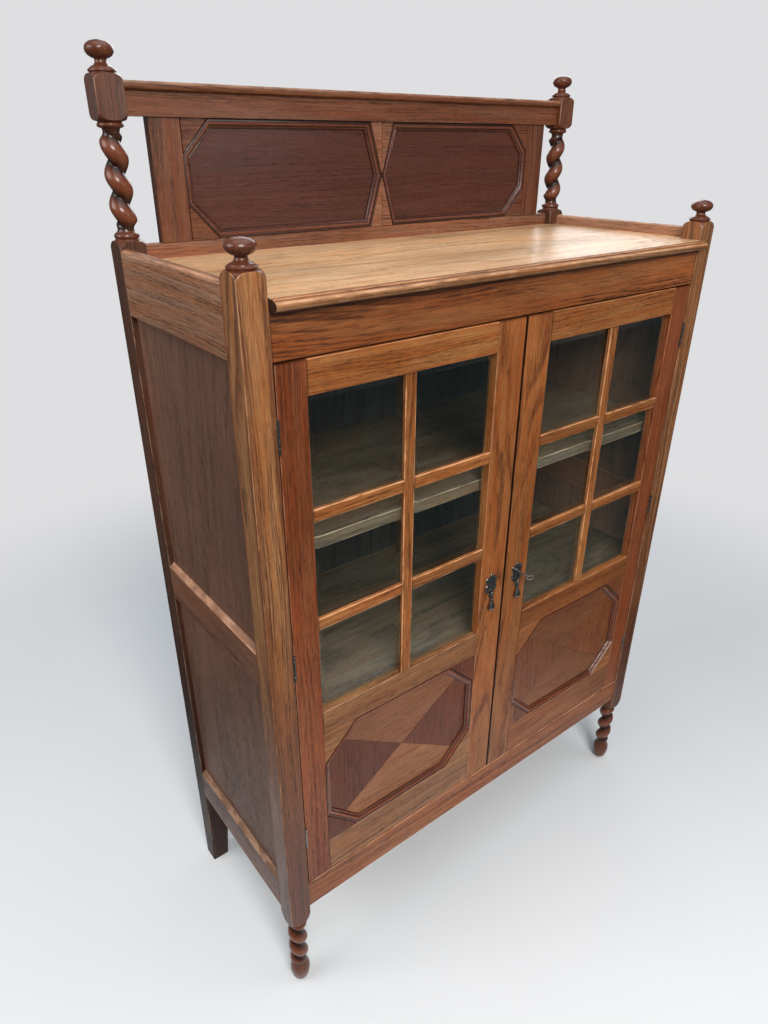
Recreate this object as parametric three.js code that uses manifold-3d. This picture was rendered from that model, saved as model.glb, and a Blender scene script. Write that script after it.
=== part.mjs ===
// A glazed oak bookcase in the barley-twist style: a post-and-rail case with two glazed doors under a raised gallery.
// Millimetres, +Z up. X runs from left to right and Y from front to back. The parts are laid out with X = 0 in the
// middle, Y = 0 on the front face of the posts and Z = 0 on the floor, and the whole is centred on the origin at the end.
import * as THREE from "three";
import { mergeVertices } from "three/addons/utils/BufferGeometryUtils.js";
import Module from "manifold-3d";

const wasm = await Module();
wasm.setup();

// ---- Driving dimensions ----

const WIDTH = 1070; // over the posts
const DEPTH = 432; // over the posts
const POST = 44; // square section of all four posts
const HALF = WIDTH / 2;
const INNER = HALF - POST; // inner faces of the posts
const POST_AXIS = HALF - POST / 2; // centre line of a post, from the middle
const SIDE_FRONT = POST; // the side frames run between the posts
const SIDE_BACK = DEPTH - POST;
const ARRIS = 1; // eased edges of the boards
const SLIGHT = 0.5; // eased edges of thin panels and metal parts
const CRISP = 0.2; // edges that are barely eased

const TOP = 1428.5; // upper face of the top board
const TOP_BOARD = 17.5;
const FRIEZE = [1345, TOP - TOP_BOARD];
const BOTTOM_RAIL = [237, 304];
const RAIL_FACE = 2; // the front rails stand this far behind the front of the posts
const RAIL_THICKNESS = 20;

const SIDE_THICKNESS = 20;
const SIDE_INNER = HALF - SIDE_THICKNESS;
const SIDE_PANEL = { setback: 10, thickness: 8 };
const SIDE_RAIL_SLOPE = 8; // rise of the sloped upper edge of a side rail, up to its panel
const SIDE_BOTTOM = [231, 302];
const SIDE_MIDDLE = [793, 862];
const SIDE_TOP = [1347, 1449];

const BACK_RAIL = { y: [402, 424], z: [1385, 1452] };
const BACK_PANEL = [410, 418];
const SHELF_THICKNESS = 22;
const FLOOR_TOP = BOTTOM_RAIL[1];
const FLOOR_THICKNESS = 18;
const SHELF_TOPS = { shelf_lower: 700, shelf_upper: 1048 };
const SHELF_FRONT = 30;

const DOOR_FACE = 1.5; // the doors stand this far behind the front of the posts
const DOOR_THICKNESS = 22;
const DOOR_BACK = DOOR_FACE + DOOR_THICKNESS;
const DOOR_GAP = 3; // between the doors, and above and below them
const HINGE_GAP = 2.5;
const DOOR = {
  near: DOOR_GAP / 2, // edge where the doors meet
  far: INNER - HINGE_GAP, // edge at the hinges
  bottom: BOTTOM_RAIL[1] + DOOR_GAP,
  top: FRIEZE[0] - DOOR_GAP,
};
const MEETING_STILE = 64.3;
const HINGE_STILE = 49.3;
const PANE_AREA = { x: [DOOR.near + MEETING_STILE, DOOR.far - HINGE_STILE], z: [715, 1290] };
const PANEL_AREA = { x: PANE_AREA.x, z: [388, 662.6] };
const PANE_COLUMNS = 2;
const PANE_ROWS = 3;
const GLAZING_BAR = { width: 21.8, depth: 8 };
const GLASS_THICKNESS = 4;
const PANEL_SINK = 8.5; // depth of the sunk door panels below the stiles
const PANEL_THICKNESS = 8;
const OCTAGON_CORNER = 70;
const OCTAGON_MARGIN = 1.5; // from the frame to the octagon's moulding

const HINGE_HEIGHTS = { low: 434, middle: 839, high: 1241 };
const HINGE_LENGTH = 51;
const KNUCKLE = { radius: 2.6, clearance: 0.4, y: 0.6 };
const KNUCKLE_X = INNER - HINGE_GAP / 2;
const HINGE_LEAF = { thickness: 1, depth: 19 };

const GALLERY = { half: 457, face: 402, z: [1452, 1636], sink: 9, backThickness: 8 };
const GALLERY_RAIL_TOP = 1683;
const COLUMN_BASE = 1463;

const TWIST = { pitch: 44, crest: 19.8, groove: 11, roundness: 1.2, fade: 12, rowsPerTurn: 7 };
const FOOT_TWIST = { from: 60, to: 194, crestZ: 154, plain: 14 };
const GALLERY_TWIST = { from: 1477, to: 1616, crestZ: 1553, plain: 12.6 };

const HANDLE_X = 37; // middle line of a handle, from the middle of the bookcase
const KEY_Z = 828;
const KEY_END = -42; // front of the key's bow, the foremost point of the bookcase
const KEYHOLE_RADIUS = 3.6;
const PLATE = { thickness: 2.5, z: [790, 848] };
const DROP_PIVOT = { y: -5.5, z: 806 };
const DROP_FLATNESS = 0.65;
const KEY = { shank: 2.2, bow: [11.5, 8], hole: [6.5, 4.2], thickness: 3, bit: 7.5 };
const LOCK = { x: [3, 58], y: [DOOR_BACK, DOOR_BACK + 10], z: [806, 852], wall: 1.5 };
const LOCK_BOLT = { x: [3, 30], z: [839, 848], clearance: 2 };
const DOOR_BOLT = { x: [-38, -28], z: [1262, DOOR.top - 4], thickness: 5 };

// ---- Materials ----

const oak = (color) => new THREE.MeshStandardMaterial({ color, roughness: 0.45, metalness: 0 });
const metal = (color, roughness) => new THREE.MeshStandardMaterial({ color, roughness, metalness: 1 });
const OAK = () => oak(0x8a4f2b);
const GOLDEN_OAK = () => oak(0xa4683a);
const DARK_OAK = () => oak(0x54291a);
const PANEL_OAK = () => oak(0x5f3a2a);
const BRONZE = () => metal(0x2b241d, 0.4);
const STEEL = () => metal(0x8f8a80, 0.35);
const GLASS = () =>
  new THREE.MeshStandardMaterial({ color: 0x4d5c58, roughness: 0.08, metalness: 0, transparent: true, opacity: 0.4 });

// ---- Solids ----

const X_AXIS = new THREE.Vector3(1, 0, 0);
const Y_AXIS = new THREE.Vector3(0, 1, 0);
const Z_AXIS = new THREE.Vector3(0, 0, 1);
const BACKWARDS = new THREE.Vector3(0, -1, 0);

// An outline of [u, v] points, extruded by the given length.
function prism(outline, length) {
  const shape = new THREE.Shape(outline.map(([u, v]) => new THREE.Vector2(u, v)));
  return new THREE.ExtrudeGeometry(shape, { depth: length, bevelEnabled: false });
}

// An outline of [y, z] points that runs along X.
function alongX(outline, [from, to]) {
  const basis = new THREE.Matrix4().makeBasis(Y_AXIS, Z_AXIS, X_AXIS).setPosition(from, 0, 0);
  return prism(outline, to - from).applyMatrix4(basis);
}

// An outline of [x, z] points that runs along Y.
function alongY(outline, [from, to]) {
  const basis = new THREE.Matrix4().makeBasis(X_AXIS, Z_AXIS, BACKWARDS).setPosition(0, to, 0);
  return prism(outline, to - from).applyMatrix4(basis);
}

// An outline of [x, y] points that runs along Z.
function alongZ(outline, [from, to]) {
  return prism(outline, to - from).translate(0, 0, from);
}

// A rectangle with its four corners taken off.
function eased([u0, u1], [v0, v1], arris = ARRIS) {
  return [
    [u0 + arris, v0], [u1 - arris, v0], [u1, v0 + arris], [u1, v1 - arris],
    [u1 - arris, v1], [u0 + arris, v1], [u0, v1 - arris], [u0, v0 + arris],
  ];
}

// A regular outline with the given number of sides, for pins and holes, or an oval if radiusV is given.
function round(u, v, radius, radiusV = radius, sides = 16) {
  return Array.from({ length: sides }, (_, i) => {
    const angle = ((i + 0.5) / sides) * 2 * Math.PI;
    return [u + radius * Math.cos(angle), v + radiusV * Math.sin(angle)];
  });
}

function toSolid(geometry) {
  const bare = geometry.index ? geometry.toNonIndexed() : geometry.clone();
  bare.deleteAttribute("normal");
  bare.deleteAttribute("uv");
  const merged = mergeVertices(bare, 1e-4);
  const vertProperties = merged.attributes.position.array;
  const triVerts = new Uint32Array(merged.index.array);
  return new wasm.Manifold(new wasm.Mesh({ numProp: 3, vertProperties, triVerts }));
}

function toGeometry(solid) {
  const { vertProperties, triVerts } = solid.getMesh();
  const geometry = new THREE.BufferGeometry();
  geometry.setAttribute("position", new THREE.BufferAttribute(vertProperties, 3));
  geometry.setIndex(new THREE.BufferAttribute(triVerts, 1));
  return geometry;
}

function joined(...geometries) {
  return toGeometry(geometries.map(toSolid).reduce((whole, piece) => whole.add(piece)));
}

function cut(geometry, ...tools) {
  return toGeometry(tools.map(toSolid).reduce((left, tool) => left.subtract(tool), toSolid(geometry)));
}

// ---- The tree of named parts ----

const bookcase = new THREE.Group();
const layout = new THREE.Group();
bookcase.add(layout);

function place(name, geometry, material) {
  geometry.computeVertexNormals();
  const mesh = new THREE.Mesh(geometry, material);
  mesh.name = name;
  layout.add(mesh);
}

const SIDES = { left: -1, right: 1 };

function forEachSide(build) {
  for (const [side, sign] of Object.entries(SIDES)) build(side, sign);
}

// The span between two distances from the middle, on the left (-1) or the right (1).
function span(sign, [near, far]) {
  return sign < 0 ? [-far, -near] : [near, far];
}

// ---- Turned work ----

const SQUARE_CORNER = POST / Math.SQRT2; // half the diagonal of the square stick
const TURNING_SEGMENTS = 16;
const LEG_TAPER = { inset: 6, height: 90 };

// Half the width of the square stick, measured from its axis at an angle round it.
function squareRadius(angle) {
  return POST / 2 / Math.max(Math.abs(Math.cos(angle)), Math.abs(Math.sin(angle)));
}

// Radius of a single-start twist at an angle round its axis and a height: a broad strand between sharp grooves, which
// fades to a plain round at both ends. Its crest faces away from the middle of the case at the height named crestZ.
function twistRadius({ from, to, crestZ, plain }, sign, angle, z) {
  const outwards = sign < 0 ? Math.PI : 0;
  const fromCrest = angle - outwards - (sign * 2 * Math.PI * (z - crestZ)) / TWIST.pitch;
  const strand = TWIST.groove + (TWIST.crest - TWIST.groove) * Math.abs(Math.cos(fromCrest / 2)) ** TWIST.roundness;
  const strength = THREE.MathUtils.smoothstep(Math.min(z - from, to - z), 0, TWIST.fade);
  return plain + (strand - plain) * strength;
}

// A stick turned between centres from square stock. The profile is a list of [radius, z]; where its radius is more than
// the square allows, the square face is left, which gives the arched shoulders above and below the square lengths.
function turnedStick(profile, sign, y, twist = null) {
  const x = sign * POST_AXIS;
  const points = profile.map(([radius, z]) => new THREE.Vector2(radius, z));
  const lathe = new THREE.LatheGeometry(points, TURNING_SEGMENTS);
  const position = lathe.attributes.position;
  for (let i = 0; i < position.count; i++) {
    const z = position.getY(i);
    const angle = ((Math.floor(i / profile.length) % TURNING_SEGMENTS) / TURNING_SEGMENTS) * 2 * Math.PI;
    const turned = Math.hypot(position.getX(i), position.getZ(i));
    const inTwist = twist && z > twist.from && z < twist.to;
    const radius = inTwist ? twistRadius(twist, sign, angle, z) : Math.min(turned, squareRadius(angle));
    position.setXYZ(i, x + radius * Math.cos(angle), y + radius * Math.sin(angle), z);
  }
  return lathe;
}

// The rows of a twist in a lathe profile; their radius is worked out from the strand.
function twistRows({ from, to, plain }) {
  const count = Math.ceil(((to - from) / TWIST.pitch) * TWIST.rowsPerTurn);
  return Array.from({ length: count - 1 }, (_, i) => [plain, from + ((i + 1) / count) * (to - from)]);
}

// An arched shoulder, a quarter of an ellipse from the full square to a round. Rows are listed upwards.
function shoulder(squareZ, roundZ, radius) {
  const rows = [0, 0.5, 0.8, 0.95, 1].map((share) => {
    const width = Math.sqrt(1 - share ** 2);
    return [radius + (SQUARE_CORNER - radius) * width, squareZ + (roundZ - squareZ) * share];
  });
  return squareZ < roundZ ? rows : rows.reverse();
}

// A small bun finial on a ring and a neck, between two heights.
function finialRows(from, to) {
  const outline = [
    [20.3, 0], [20.3, 0.1], [13, 0.19], [8.7, 0.26], [8.5, 0.39], [14, 0.47], [19, 0.58], [20.6, 0.73],
    [17.5, 0.88], [9, 0.97], [0, 1],
  ];
  return outline.map(([radius, share]) => [radius, from + share * (to - from)]);
}

// A front post: egg-shaped toe, twisted foot, square length and finial, all turned from one stick.
function frontPost(sign) {
  const profile = [
    [0, 0], [6, 0], [12, 6], [18, 20], [20.4, 38], [18.5, 52], [FOOT_TWIST.plain, FOOT_TWIST.from],
    ...twistRows(FOOT_TWIST), [FOOT_TWIST.plain, FOOT_TWIST.to], ...shoulder(232, 199, 20),
    ...shoulder(1445, 1462, 20), ...finialRows(1463, 1501),
  ];
  return turnedStick(profile, sign, POST / 2, FOOT_TWIST);
}

// A back post is square down to the floor, and narrows near the floor on its two inner faces.
function backPost(sign) {
  const profile = [
    [0, 0], [SQUARE_CORNER, 0], [SQUARE_CORNER, LEG_TAPER.height], ...shoulder(1443, 1460, 20),
    [18, COLUMN_BASE], [0, COLUMN_BASE],
  ];
  const post = turnedStick(profile, sign, DEPTH - POST / 2);
  const position = post.attributes.position;
  const outer = sign * HALF;
  for (let i = 0; i < position.count; i++) {
    const share = 1 - (LEG_TAPER.inset / POST) * Math.max(0, 1 - position.getZ(i) / LEG_TAPER.height);
    position.setX(i, outer + (position.getX(i) - outer) * share);
    position.setY(i, DEPTH + (position.getY(i) - DEPTH) * share);
  }
  return post;
}

// A gallery column: ring, twist, ring, square block for the gallery rail, and finial.
function galleryColumn(sign) {
  const profile = [
    [0, COLUMN_BASE], [17, COLUMN_BASE], [19.6, 1468], [16, 1472], [GALLERY_TWIST.plain, GALLERY_TWIST.from],
    ...twistRows(GALLERY_TWIST), [GALLERY_TWIST.plain, GALLERY_TWIST.to], [19.8, 1623], [17, 1627],
    ...shoulder(1643, 1629, 19), ...shoulder(1677, 1690.5, 19), ...finialRows(1691.5, 1733),
  ];
  return turnedStick(profile, sign, DEPTH - POST / 2, GALLERY_TWIST);
}

// ---- The case ----

// Hinge knuckles stand in half-round notches in the post and in the door stile.
function knuckleNotches(sign) {
  const radius = KNUCKLE.radius + KNUCKLE.clearance;
  const outline = round(sign * KNUCKLE_X, KNUCKLE.y, radius);
  const reach = HINGE_LENGTH / 2 + KNUCKLE.clearance;
  return Object.values(HINGE_HEIGHTS).map((z) => alongZ(outline, [z - reach, z + reach]));
}

function buildPosts() {
  forEachSide((side, sign) => {
    place(`post_front_${side}`, cut(frontPost(sign), ...knuckleNotches(sign)), OAK());
    place(`post_back_${side}`, toGeometry(toSolid(backPost(sign))), OAK());
  });
}

// The moulded front edge of the top board, as [y, z below the top] from the upper face round to the underside.
const TOP_MOULDING = [
  [-4, 0], [-4.6, -1.4], [-6.5, -0.6], [-9, -0.9], [-10.8, -2.2], [-10.8, -3.6], [-12.5, -3.2], [-16, -4],
  [-18.6, -6.2], [-19.4, -9], [-18.6, -12], [-16, -14.6], [-12, -16.2], [-8, -TOP_BOARD],
];

// A board that fills the case: between the posts at the front and back, and out to the side rails between them.
function caseBoard(outline, wings) {
  const [bottom, top] = wings;
  const fill = alongZ(eased([-SIDE_INNER, SIDE_INNER], [SIDE_FRONT, SIDE_BACK], CRISP), [bottom, top]);
  return joined(alongX(outline, [-INNER, INNER]), fill);
}

function buildBoards() {
  const back = BACK_RAIL.y[0];
  const section = [[back, TOP - TOP_BOARD], [back, TOP], ...TOP_MOULDING.map(([y, z]) => [y, TOP + z])];
  place("top_board", caseBoard(section, [TOP - TOP_BOARD, TOP]), GOLDEN_OAK());

  const floor = [FLOOR_TOP - FLOOR_THICKNESS, FLOOR_TOP];
  const floorFront = RAIL_FACE + RAIL_THICKNESS;
  place("floor_board", caseBoard(eased([floorFront, BACK_PANEL[0]], floor, CRISP), floor), OAK());
  for (const [name, top] of Object.entries(SHELF_TOPS)) {
    const shelf = [top - SHELF_THICKNESS, top];
    place(name, caseBoard(eased([SHELF_FRONT, BACK_PANEL[0]], shelf), shelf), OAK());
  }
}

function buildFrontAndBack() {
  const front = [RAIL_FACE, RAIL_FACE + RAIL_THICKNESS];
  place("frieze_rail", alongX(eased(front, FRIEZE), [-INNER, INNER]), OAK());
  place("bottom_rail_front", alongX(eased(front, BOTTOM_RAIL), [-INNER, INNER]), OAK());
  place("back_rail_top", alongX(eased(BACK_RAIL.y, BACK_RAIL.z, 2), [-INNER, INNER]), OAK());
  const backPanel = [BOTTOM_RAIL[0], BACK_RAIL.z[0]];
  place("back_panel", alongX(eased(BACK_PANEL, backPanel, SLIGHT), [-INNER, INNER]), PANEL_OAK());
}

// A side rail with its outer face flush with the posts, as [distance from the middle, z].
function sideRail(sign, outline) {
  return alongY(outline.map(([out, z]) => [sign * out, z]), [SIDE_FRONT, SIDE_BACK]);
}

// The middle and bottom side rails slope up from their outer face to the sunk panel.
function slopedRail([bottom, top]) {
  return [
    [SIDE_INNER, bottom], [HALF - ARRIS, bottom], [HALF, bottom + ARRIS], [HALF, top],
    [HALF - SIDE_PANEL.setback, top + SIDE_RAIL_SLOPE], [SIDE_INNER, top + SIDE_RAIL_SLOPE],
  ];
}

// The top side rail is rounded over, above the top board.
function roundedRail([bottom, top]) {
  const radius = SIDE_THICKNESS / 2;
  const crown = Array.from({ length: 7 }, (_, i) => {
    const angle = (i / 6) * Math.PI;
    return [HALF - radius + radius * Math.cos(angle), top - radius * 0.6 * (1 - Math.sin(angle))];
  });
  return [[SIDE_INNER, bottom], [HALF, bottom], ...crown];
}

function buildSides() {
  const panelFaces = [HALF - SIDE_PANEL.setback - SIDE_PANEL.thickness, HALF - SIDE_PANEL.setback];
  const panelDepth = [SIDE_FRONT, SIDE_BACK];
  const panels = {
    side_panel_upper: [SIDE_MIDDLE[1] + SIDE_RAIL_SLOPE, SIDE_TOP[0]],
    side_panel_lower: [SIDE_BOTTOM[1] + SIDE_RAIL_SLOPE, SIDE_MIDDLE[0]],
  };
  forEachSide((side, sign) => {
    place(`side_rail_top_${side}`, sideRail(sign, roundedRail(SIDE_TOP)), OAK());
    place(`side_rail_middle_${side}`, sideRail(sign, slopedRail(SIDE_MIDDLE)), OAK());
    place(`side_rail_bottom_${side}`, sideRail(sign, slopedRail(SIDE_BOTTOM)), OAK());
    for (const [name, height] of Object.entries(panels)) {
      place(`${name}_${side}`, alongY(eased(span(sign, panelFaces), height, CRISP), panelDepth), PANEL_OAK());
    }
  });
}

// ---- Sunk mouldings ----

// Steps of the sunk moulding from the flush face down to the panel, as [inset, share of the depth].
const SUNK_STEPS = [[0, 0], [1.5, 0.15], [3.5, 0.35], [10, 0.75], [11.5, 0.7], [13, 1]];

// Moves each side of a closed outline inwards; the outline is listed anticlockwise.
function inset(outline, distance) {
  return outline.map((point, i) => {
    const before = outline.at(i - 1);
    const after = outline[(i + 1) % outline.length];
    const normals = [[before, point], [point, after]].map(([a, b]) => {
      const length = Math.hypot(b[0] - a[0], b[1] - a[1]);
      return [-(b[1] - a[1]) / length, (b[0] - a[0]) / length];
    });
    const [[ax, az], [bx, bz]] = normals;
    const scale = distance / (1 + ax * bx + az * bz);
    return [point[0] + (ax + bx) * scale, point[1] + (az + bz) * scale];
  });
}

// A ring-shaped body through a cycle of loops with the same number of points, each loop { outline, y }.
function ringBody(loops) {
  const sides = loops[0].outline.length;
  const positions = loops.flatMap(({ outline, y }) => outline.flatMap(([x, z]) => [x, y, z]));
  const index = [];
  loops.forEach((_, k) => {
    const next = (k + 1) % loops.length;
    for (let i = 0; i < sides; i++) {
      const j = (i + 1) % sides;
      const corners = [k * sides + i, k * sides + j, next * sides + j, next * sides + i];
      index.push(corners[0], corners[1], corners[2], corners[0], corners[2], corners[3]);
    }
  });
  const geometry = new THREE.BufferGeometry();
  geometry.setAttribute("position", new THREE.Float32BufferAttribute(positions, 3));
  geometry.setIndex(index);
  return geometry;
}

// A flush board with a sunk moulding round its opening: border and opening are matching anticlockwise outlines.
function sunkSurround(border, opening, face, sink) {
  const steps = SUNK_STEPS.map(([distance, share]) => ({ outline: inset(opening, distance), y: face + share * sink }));
  return ringBody([{ outline: border, y: face }, ...steps, { outline: border, y: face + sink }]);
}

// A rectangle with cut corners, listed anticlockwise from its lower left.
function octagon([x0, x1], [z0, z1], corner) {
  return [
    [x0 + corner, z0], [x1 - corner, z0], [x1, z0 + corner], [x1, z1 - corner],
    [x1 - corner, z1], [x0 + corner, z1], [x0, z1 - corner], [x0, z0 + corner],
  ];
}

// ---- Doors ----

function doorStile(sign, [near, far], cutters = []) {
  const outline = eased(span(sign, [near, far]), [DOOR_FACE, DOOR_BACK]);
  const stile = alongZ(outline, [DOOR.bottom, DOOR.top]);
  return cutters.length ? cut(stile, ...cutters) : stile;
}

function doorRail(sign, height) {
  return alongX(eased([DOOR_FACE, DOOR_BACK], height), span(sign, PANE_AREA.x));
}

// One upright and two level bars, halved into each other.
function glazingBars(sign) {
  const [x0, x1] = span(sign, PANE_AREA.x);
  const [z0, z1] = PANE_AREA.z;
  const half = GLAZING_BAR.width / 2;
  const depth = [DOOR_FACE, DOOR_FACE + GLAZING_BAR.depth];
  const uprights = Array.from({ length: PANE_COLUMNS - 1 }, (_, i) => {
    const x = x0 + ((x1 - x0) * (i + 1)) / PANE_COLUMNS;
    return alongZ(eased([x - half, x + half], depth), PANE_AREA.z);
  });
  const paneHeight = (z1 - z0 - (PANE_ROWS - 1) * GLAZING_BAR.width) / PANE_ROWS;
  const levels = Array.from({ length: PANE_ROWS - 1 }, (_, i) => {
    const bottom = z0 + (i + 1) * paneHeight + i * GLAZING_BAR.width;
    return alongX(eased(depth, [bottom, bottom + GLAZING_BAR.width]), [x0, x1]);
  });
  return joined(...uprights, ...levels);
}

// A door's sunk octagonal moulding, with the four flush corner blocks outside it.
function doorSurround(sign) {
  const x = span(sign, PANEL_AREA.x);
  const border = octagon(x, PANEL_AREA.z, 0.5);
  const [x0, x1] = x;
  const [z0, z1] = PANEL_AREA.z;
  const margin = OCTAGON_MARGIN;
  const opening = octagon([x0 + margin, x1 - margin], [z0 + margin, z1 - margin], OCTAGON_CORNER);
  return sunkSurround(border, opening, DOOR_FACE, PANEL_SINK);
}

function keyHole(depth) {
  return alongY(round(HANDLE_X, KEY_Z, KEYHOLE_RADIUS), depth);
}

function buildDoor(side, sign) {
  const name = (piece) => `door_${side}_${piece}`;
  const keyhole = sign > 0 ? [keyHole([0, DOOR_BACK + 5])] : [];
  place(name("stile_meeting"), doorStile(sign, [DOOR.near, PANE_AREA.x[0]], keyhole), OAK());
  place(name("stile_hinge"), doorStile(sign, [PANE_AREA.x[1], DOOR.far], knuckleNotches(sign)), OAK());
  place(name("rail_top"), doorRail(sign, [PANE_AREA.z[1], DOOR.top]), OAK());
  place(name("rail_lock"), doorRail(sign, [PANEL_AREA.z[1], PANE_AREA.z[0]]), OAK());
  place(name("rail_bottom"), doorRail(sign, [DOOR.bottom, PANEL_AREA.z[0]]), OAK());
  place(name("glazing_bars"), glazingBars(sign), OAK());

  const glassFront = DOOR_FACE + GLAZING_BAR.depth;
  const glass = eased([glassFront, glassFront + GLASS_THICKNESS], PANE_AREA.z, CRISP);
  place(name("glass"), alongX(glass, span(sign, PANE_AREA.x)), GLASS());

  const panelFront = DOOR_FACE + PANEL_SINK;
  const panel = eased([panelFront, panelFront + PANEL_THICKNESS], PANEL_AREA.z, CRISP);
  place(name("panel"), alongX(panel, span(sign, PANEL_AREA.x)), GOLDEN_OAK());
  place(name("surround"), doorSurround(sign), OAK());
}

// A butt hinge: its knuckle, and the leaf let in behind it on the inner face of the post.
function buildHinges(side, sign) {
  const knuckle = round(sign * KNUCKLE_X, KNUCKLE.y, KNUCKLE.radius);
  const leafX = span(sign, [INNER - HINGE_LEAF.thickness, INNER]);
  const leaf = eased(leafX, [KNUCKLE.y, KNUCKLE.y + HINGE_LEAF.depth], CRISP);
  for (const [height, z] of Object.entries(HINGE_HEIGHTS)) {
    const length = [z - HINGE_LENGTH / 2, z + HINGE_LENGTH / 2];
    place(`hinge_${side}_${height}`, joined(alongZ(knuckle, length), alongZ(leaf, length)), BRONZE());
  }
}

// ---- Gallery ----

// One half of the gallery board: a sunk six-sided opening whose point meets its neighbour's in the middle.
function gallerySurround(sign) {
  const [z0, z1] = GALLERY.z;
  const middle = (z0 + z1) / 2;
  const tip = 2;
  const far = GALLERY.half;
  const opening = [
    [tip, middle], [29, z0 + tip], [352, z0 + tip], [404, 1509], [404, 1583], [356, z1 - tip], [29, z1 - tip],
  ];
  const border = [[0, middle], [0, z0], [far - tip, z0], [far, z0 + tip], [far, z1 - tip], [far - tip, z1], [0, z1]];
  const mirrored = (outline) => (sign > 0 ? outline : outline.map(([x, z]) => [-x, z]).reverse());
  return sunkSurround(mirrored(border), mirrored(opening), GALLERY.face, GALLERY.sink);
}

// The gallery's top rail, as [y, z]: a plain face, a groove and a rounded nose that stands forward.
function galleryRail() {
  const face = GALLERY.face - 4;
  const back = face + 22;
  const [bottom, top] = [GALLERY.z[1], GALLERY_RAIL_TOP];
  return [
    [back, bottom], [back, top], [face - 3, top], [face - 6, top - 2.5], [face - 7.5, top - 6], [face - 6.5, top - 10],
    [face - 2, top - 12], [face + 1, top - 18], [face, top - 20], [face, bottom],
  ];
}

function buildGallery() {
  forEachSide((side, sign) => {
    place(`gallery_column_${side}`, toGeometry(toSolid(galleryColumn(sign))), DARK_OAK());
    place(`gallery_surround_${side}`, gallerySurround(sign), OAK());
  });
  place("gallery_rail", alongX(galleryRail(), [-INNER, INNER]), OAK());
  const backing = [GALLERY.face + GALLERY.sink, GALLERY.face + GALLERY.sink + GALLERY.backThickness];
  place("gallery_panel", alongX(eased(backing, GALLERY.z, SLIGHT), [-GALLERY.half, GALLERY.half]), DARK_OAK());
}

// ---- Handles and lock ----

const PLATE_FRONT = DOOR_FACE - PLATE.thickness;

// A waisted plate with ears, as half an outline of [distance from its middle line, z].
function handlePlate(sign) {
  const [bottom, top] = PLATE.z;
  const half = [
    [0, bottom], [5, bottom + 4], [6, bottom + 12], [15, bottom + 22], [16, bottom + 30], [11, bottom + 36],
    [15, bottom + 44], [13, bottom + 52], [5, top - 2], [0, top],
  ];
  const mirror = half.slice(1, -1).map(([out, z]) => [-out, z]).reverse();
  const outline = [...half, ...mirror].map(([out, z]) => [sign * HANDLE_X + out, z]);
  return alongY(outline, [PLATE_FRONT, DOOR_FACE]);
}

// A pear drop on a short neck that swings from its eye.
function handleDrop(sign) {
  const drop = [[0, 764], [5, 766], [8, 773], [6.5, 782], [3, 790], [2.4, 801], [4, DROP_PIVOT.z], [0, 809.5]];
  const points = drop.map(([radius, z]) => new THREE.Vector2(radius, z));
  const upright = new THREE.Matrix4().makeBasis(X_AXIS, Z_AXIS, BACKWARDS);
  const pear = new THREE.LatheGeometry(points, 12).applyMatrix4(upright).scale(1, DROP_FLATNESS, 1);
  return pear.translate(sign * HANDLE_X, DROP_PIVOT.y, 0);
}

// The key stands in the lock: an oval bow, a collar, a round shank and a bit inside the lock case.
function key() {
  const bowY = KEY_END + KEY.bow[1];
  const bow = prism(round(HANDLE_X, bowY, ...KEY.bow), KEY.thickness);
  const hole = prism(round(HANDLE_X, bowY, ...KEY.hole), KEY.thickness + 2).translate(0, 0, -1);
  const ring = cut(bow, hole).translate(0, 0, KEY_Z - KEY.thickness / 2);
  const shank = alongY(round(HANDLE_X, KEY_Z, KEY.shank), [bowY + KEY.bow[1] - 1, LOCK.y[1] - 3]);
  const collarY = bowY + KEY.bow[1] + 2;
  const collar = alongY(round(HANDLE_X, KEY_Z, KEY.shank + 1.2), [collarY, collarY + 3]);
  const bit = alongX(eased([LOCK.y[0] + 2, LOCK.y[1] - 3.5], [KEY_Z - 1, KEY_Z + 1], CRISP),
    [HANDLE_X + 0.5, HANDLE_X + KEY.bit]);
  return joined(ring, shank, collar, bit);
}

// The lock case is a shallow box on the back of the stile, open towards the other door for its bolt.
function lockCase() {
  const inside = [LOCK.x[0] - 1, LOCK.x[1] - LOCK.wall];
  const box = alongX(eased(LOCK.y, LOCK.z, SLIGHT), LOCK.x);
  const hollow = alongX(eased([LOCK.y[0] + LOCK.wall, LOCK.y[1] - LOCK.wall],
    [LOCK.z[0] + LOCK.wall, LOCK.z[1] - LOCK.wall], CRISP), inside);
  return cut(box, hollow, keyHole([DOOR_FACE, LOCK.y[0] + LOCK.wall + 1]));
}

function buildFurniture() {
  forEachSide((side, sign) => {
    const plate = handlePlate(sign);
    place(`handle_plate_${side}`, sign > 0 ? cut(plate, keyHole([PLATE_FRONT - 1, DOOR_FACE + 1])) : plate, BRONZE());
    place(`handle_drop_${side}`, handleDrop(sign), BRONZE());
  });
  place("key", key(), STEEL());
  place("lock_case", lockCase(), STEEL());
  const boltDepth = [LOCK.y[0] + LOCK_BOLT.clearance, LOCK.y[1] - LOCK_BOLT.clearance];
  place("lock_bolt", alongX(eased(boltDepth, LOCK_BOLT.z, SLIGHT), LOCK_BOLT.x), STEEL());
}

// A slim bolt on the back of the left door slides up behind the frieze rail.
function buildDoorBolt() {
  const depth = [DOOR_BACK, DOOR_BACK + DOOR_BOLT.thickness];
  place("door_left_bolt", alongZ(eased(DOOR_BOLT.x, depth, SLIGHT), DOOR_BOLT.z), STEEL());
}

buildPosts();
buildBoards();
buildFrontAndBack();
buildSides();
forEachSide(buildDoor);
forEachSide(buildHinges);
buildGallery();
buildFurniture();
buildDoorBolt();

// Centre the bookcase on the origin, from the front of the key to the back of the posts.
layout.position.y = -(KEY_END + DEPTH) / 2;

export default bookcase;
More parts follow.
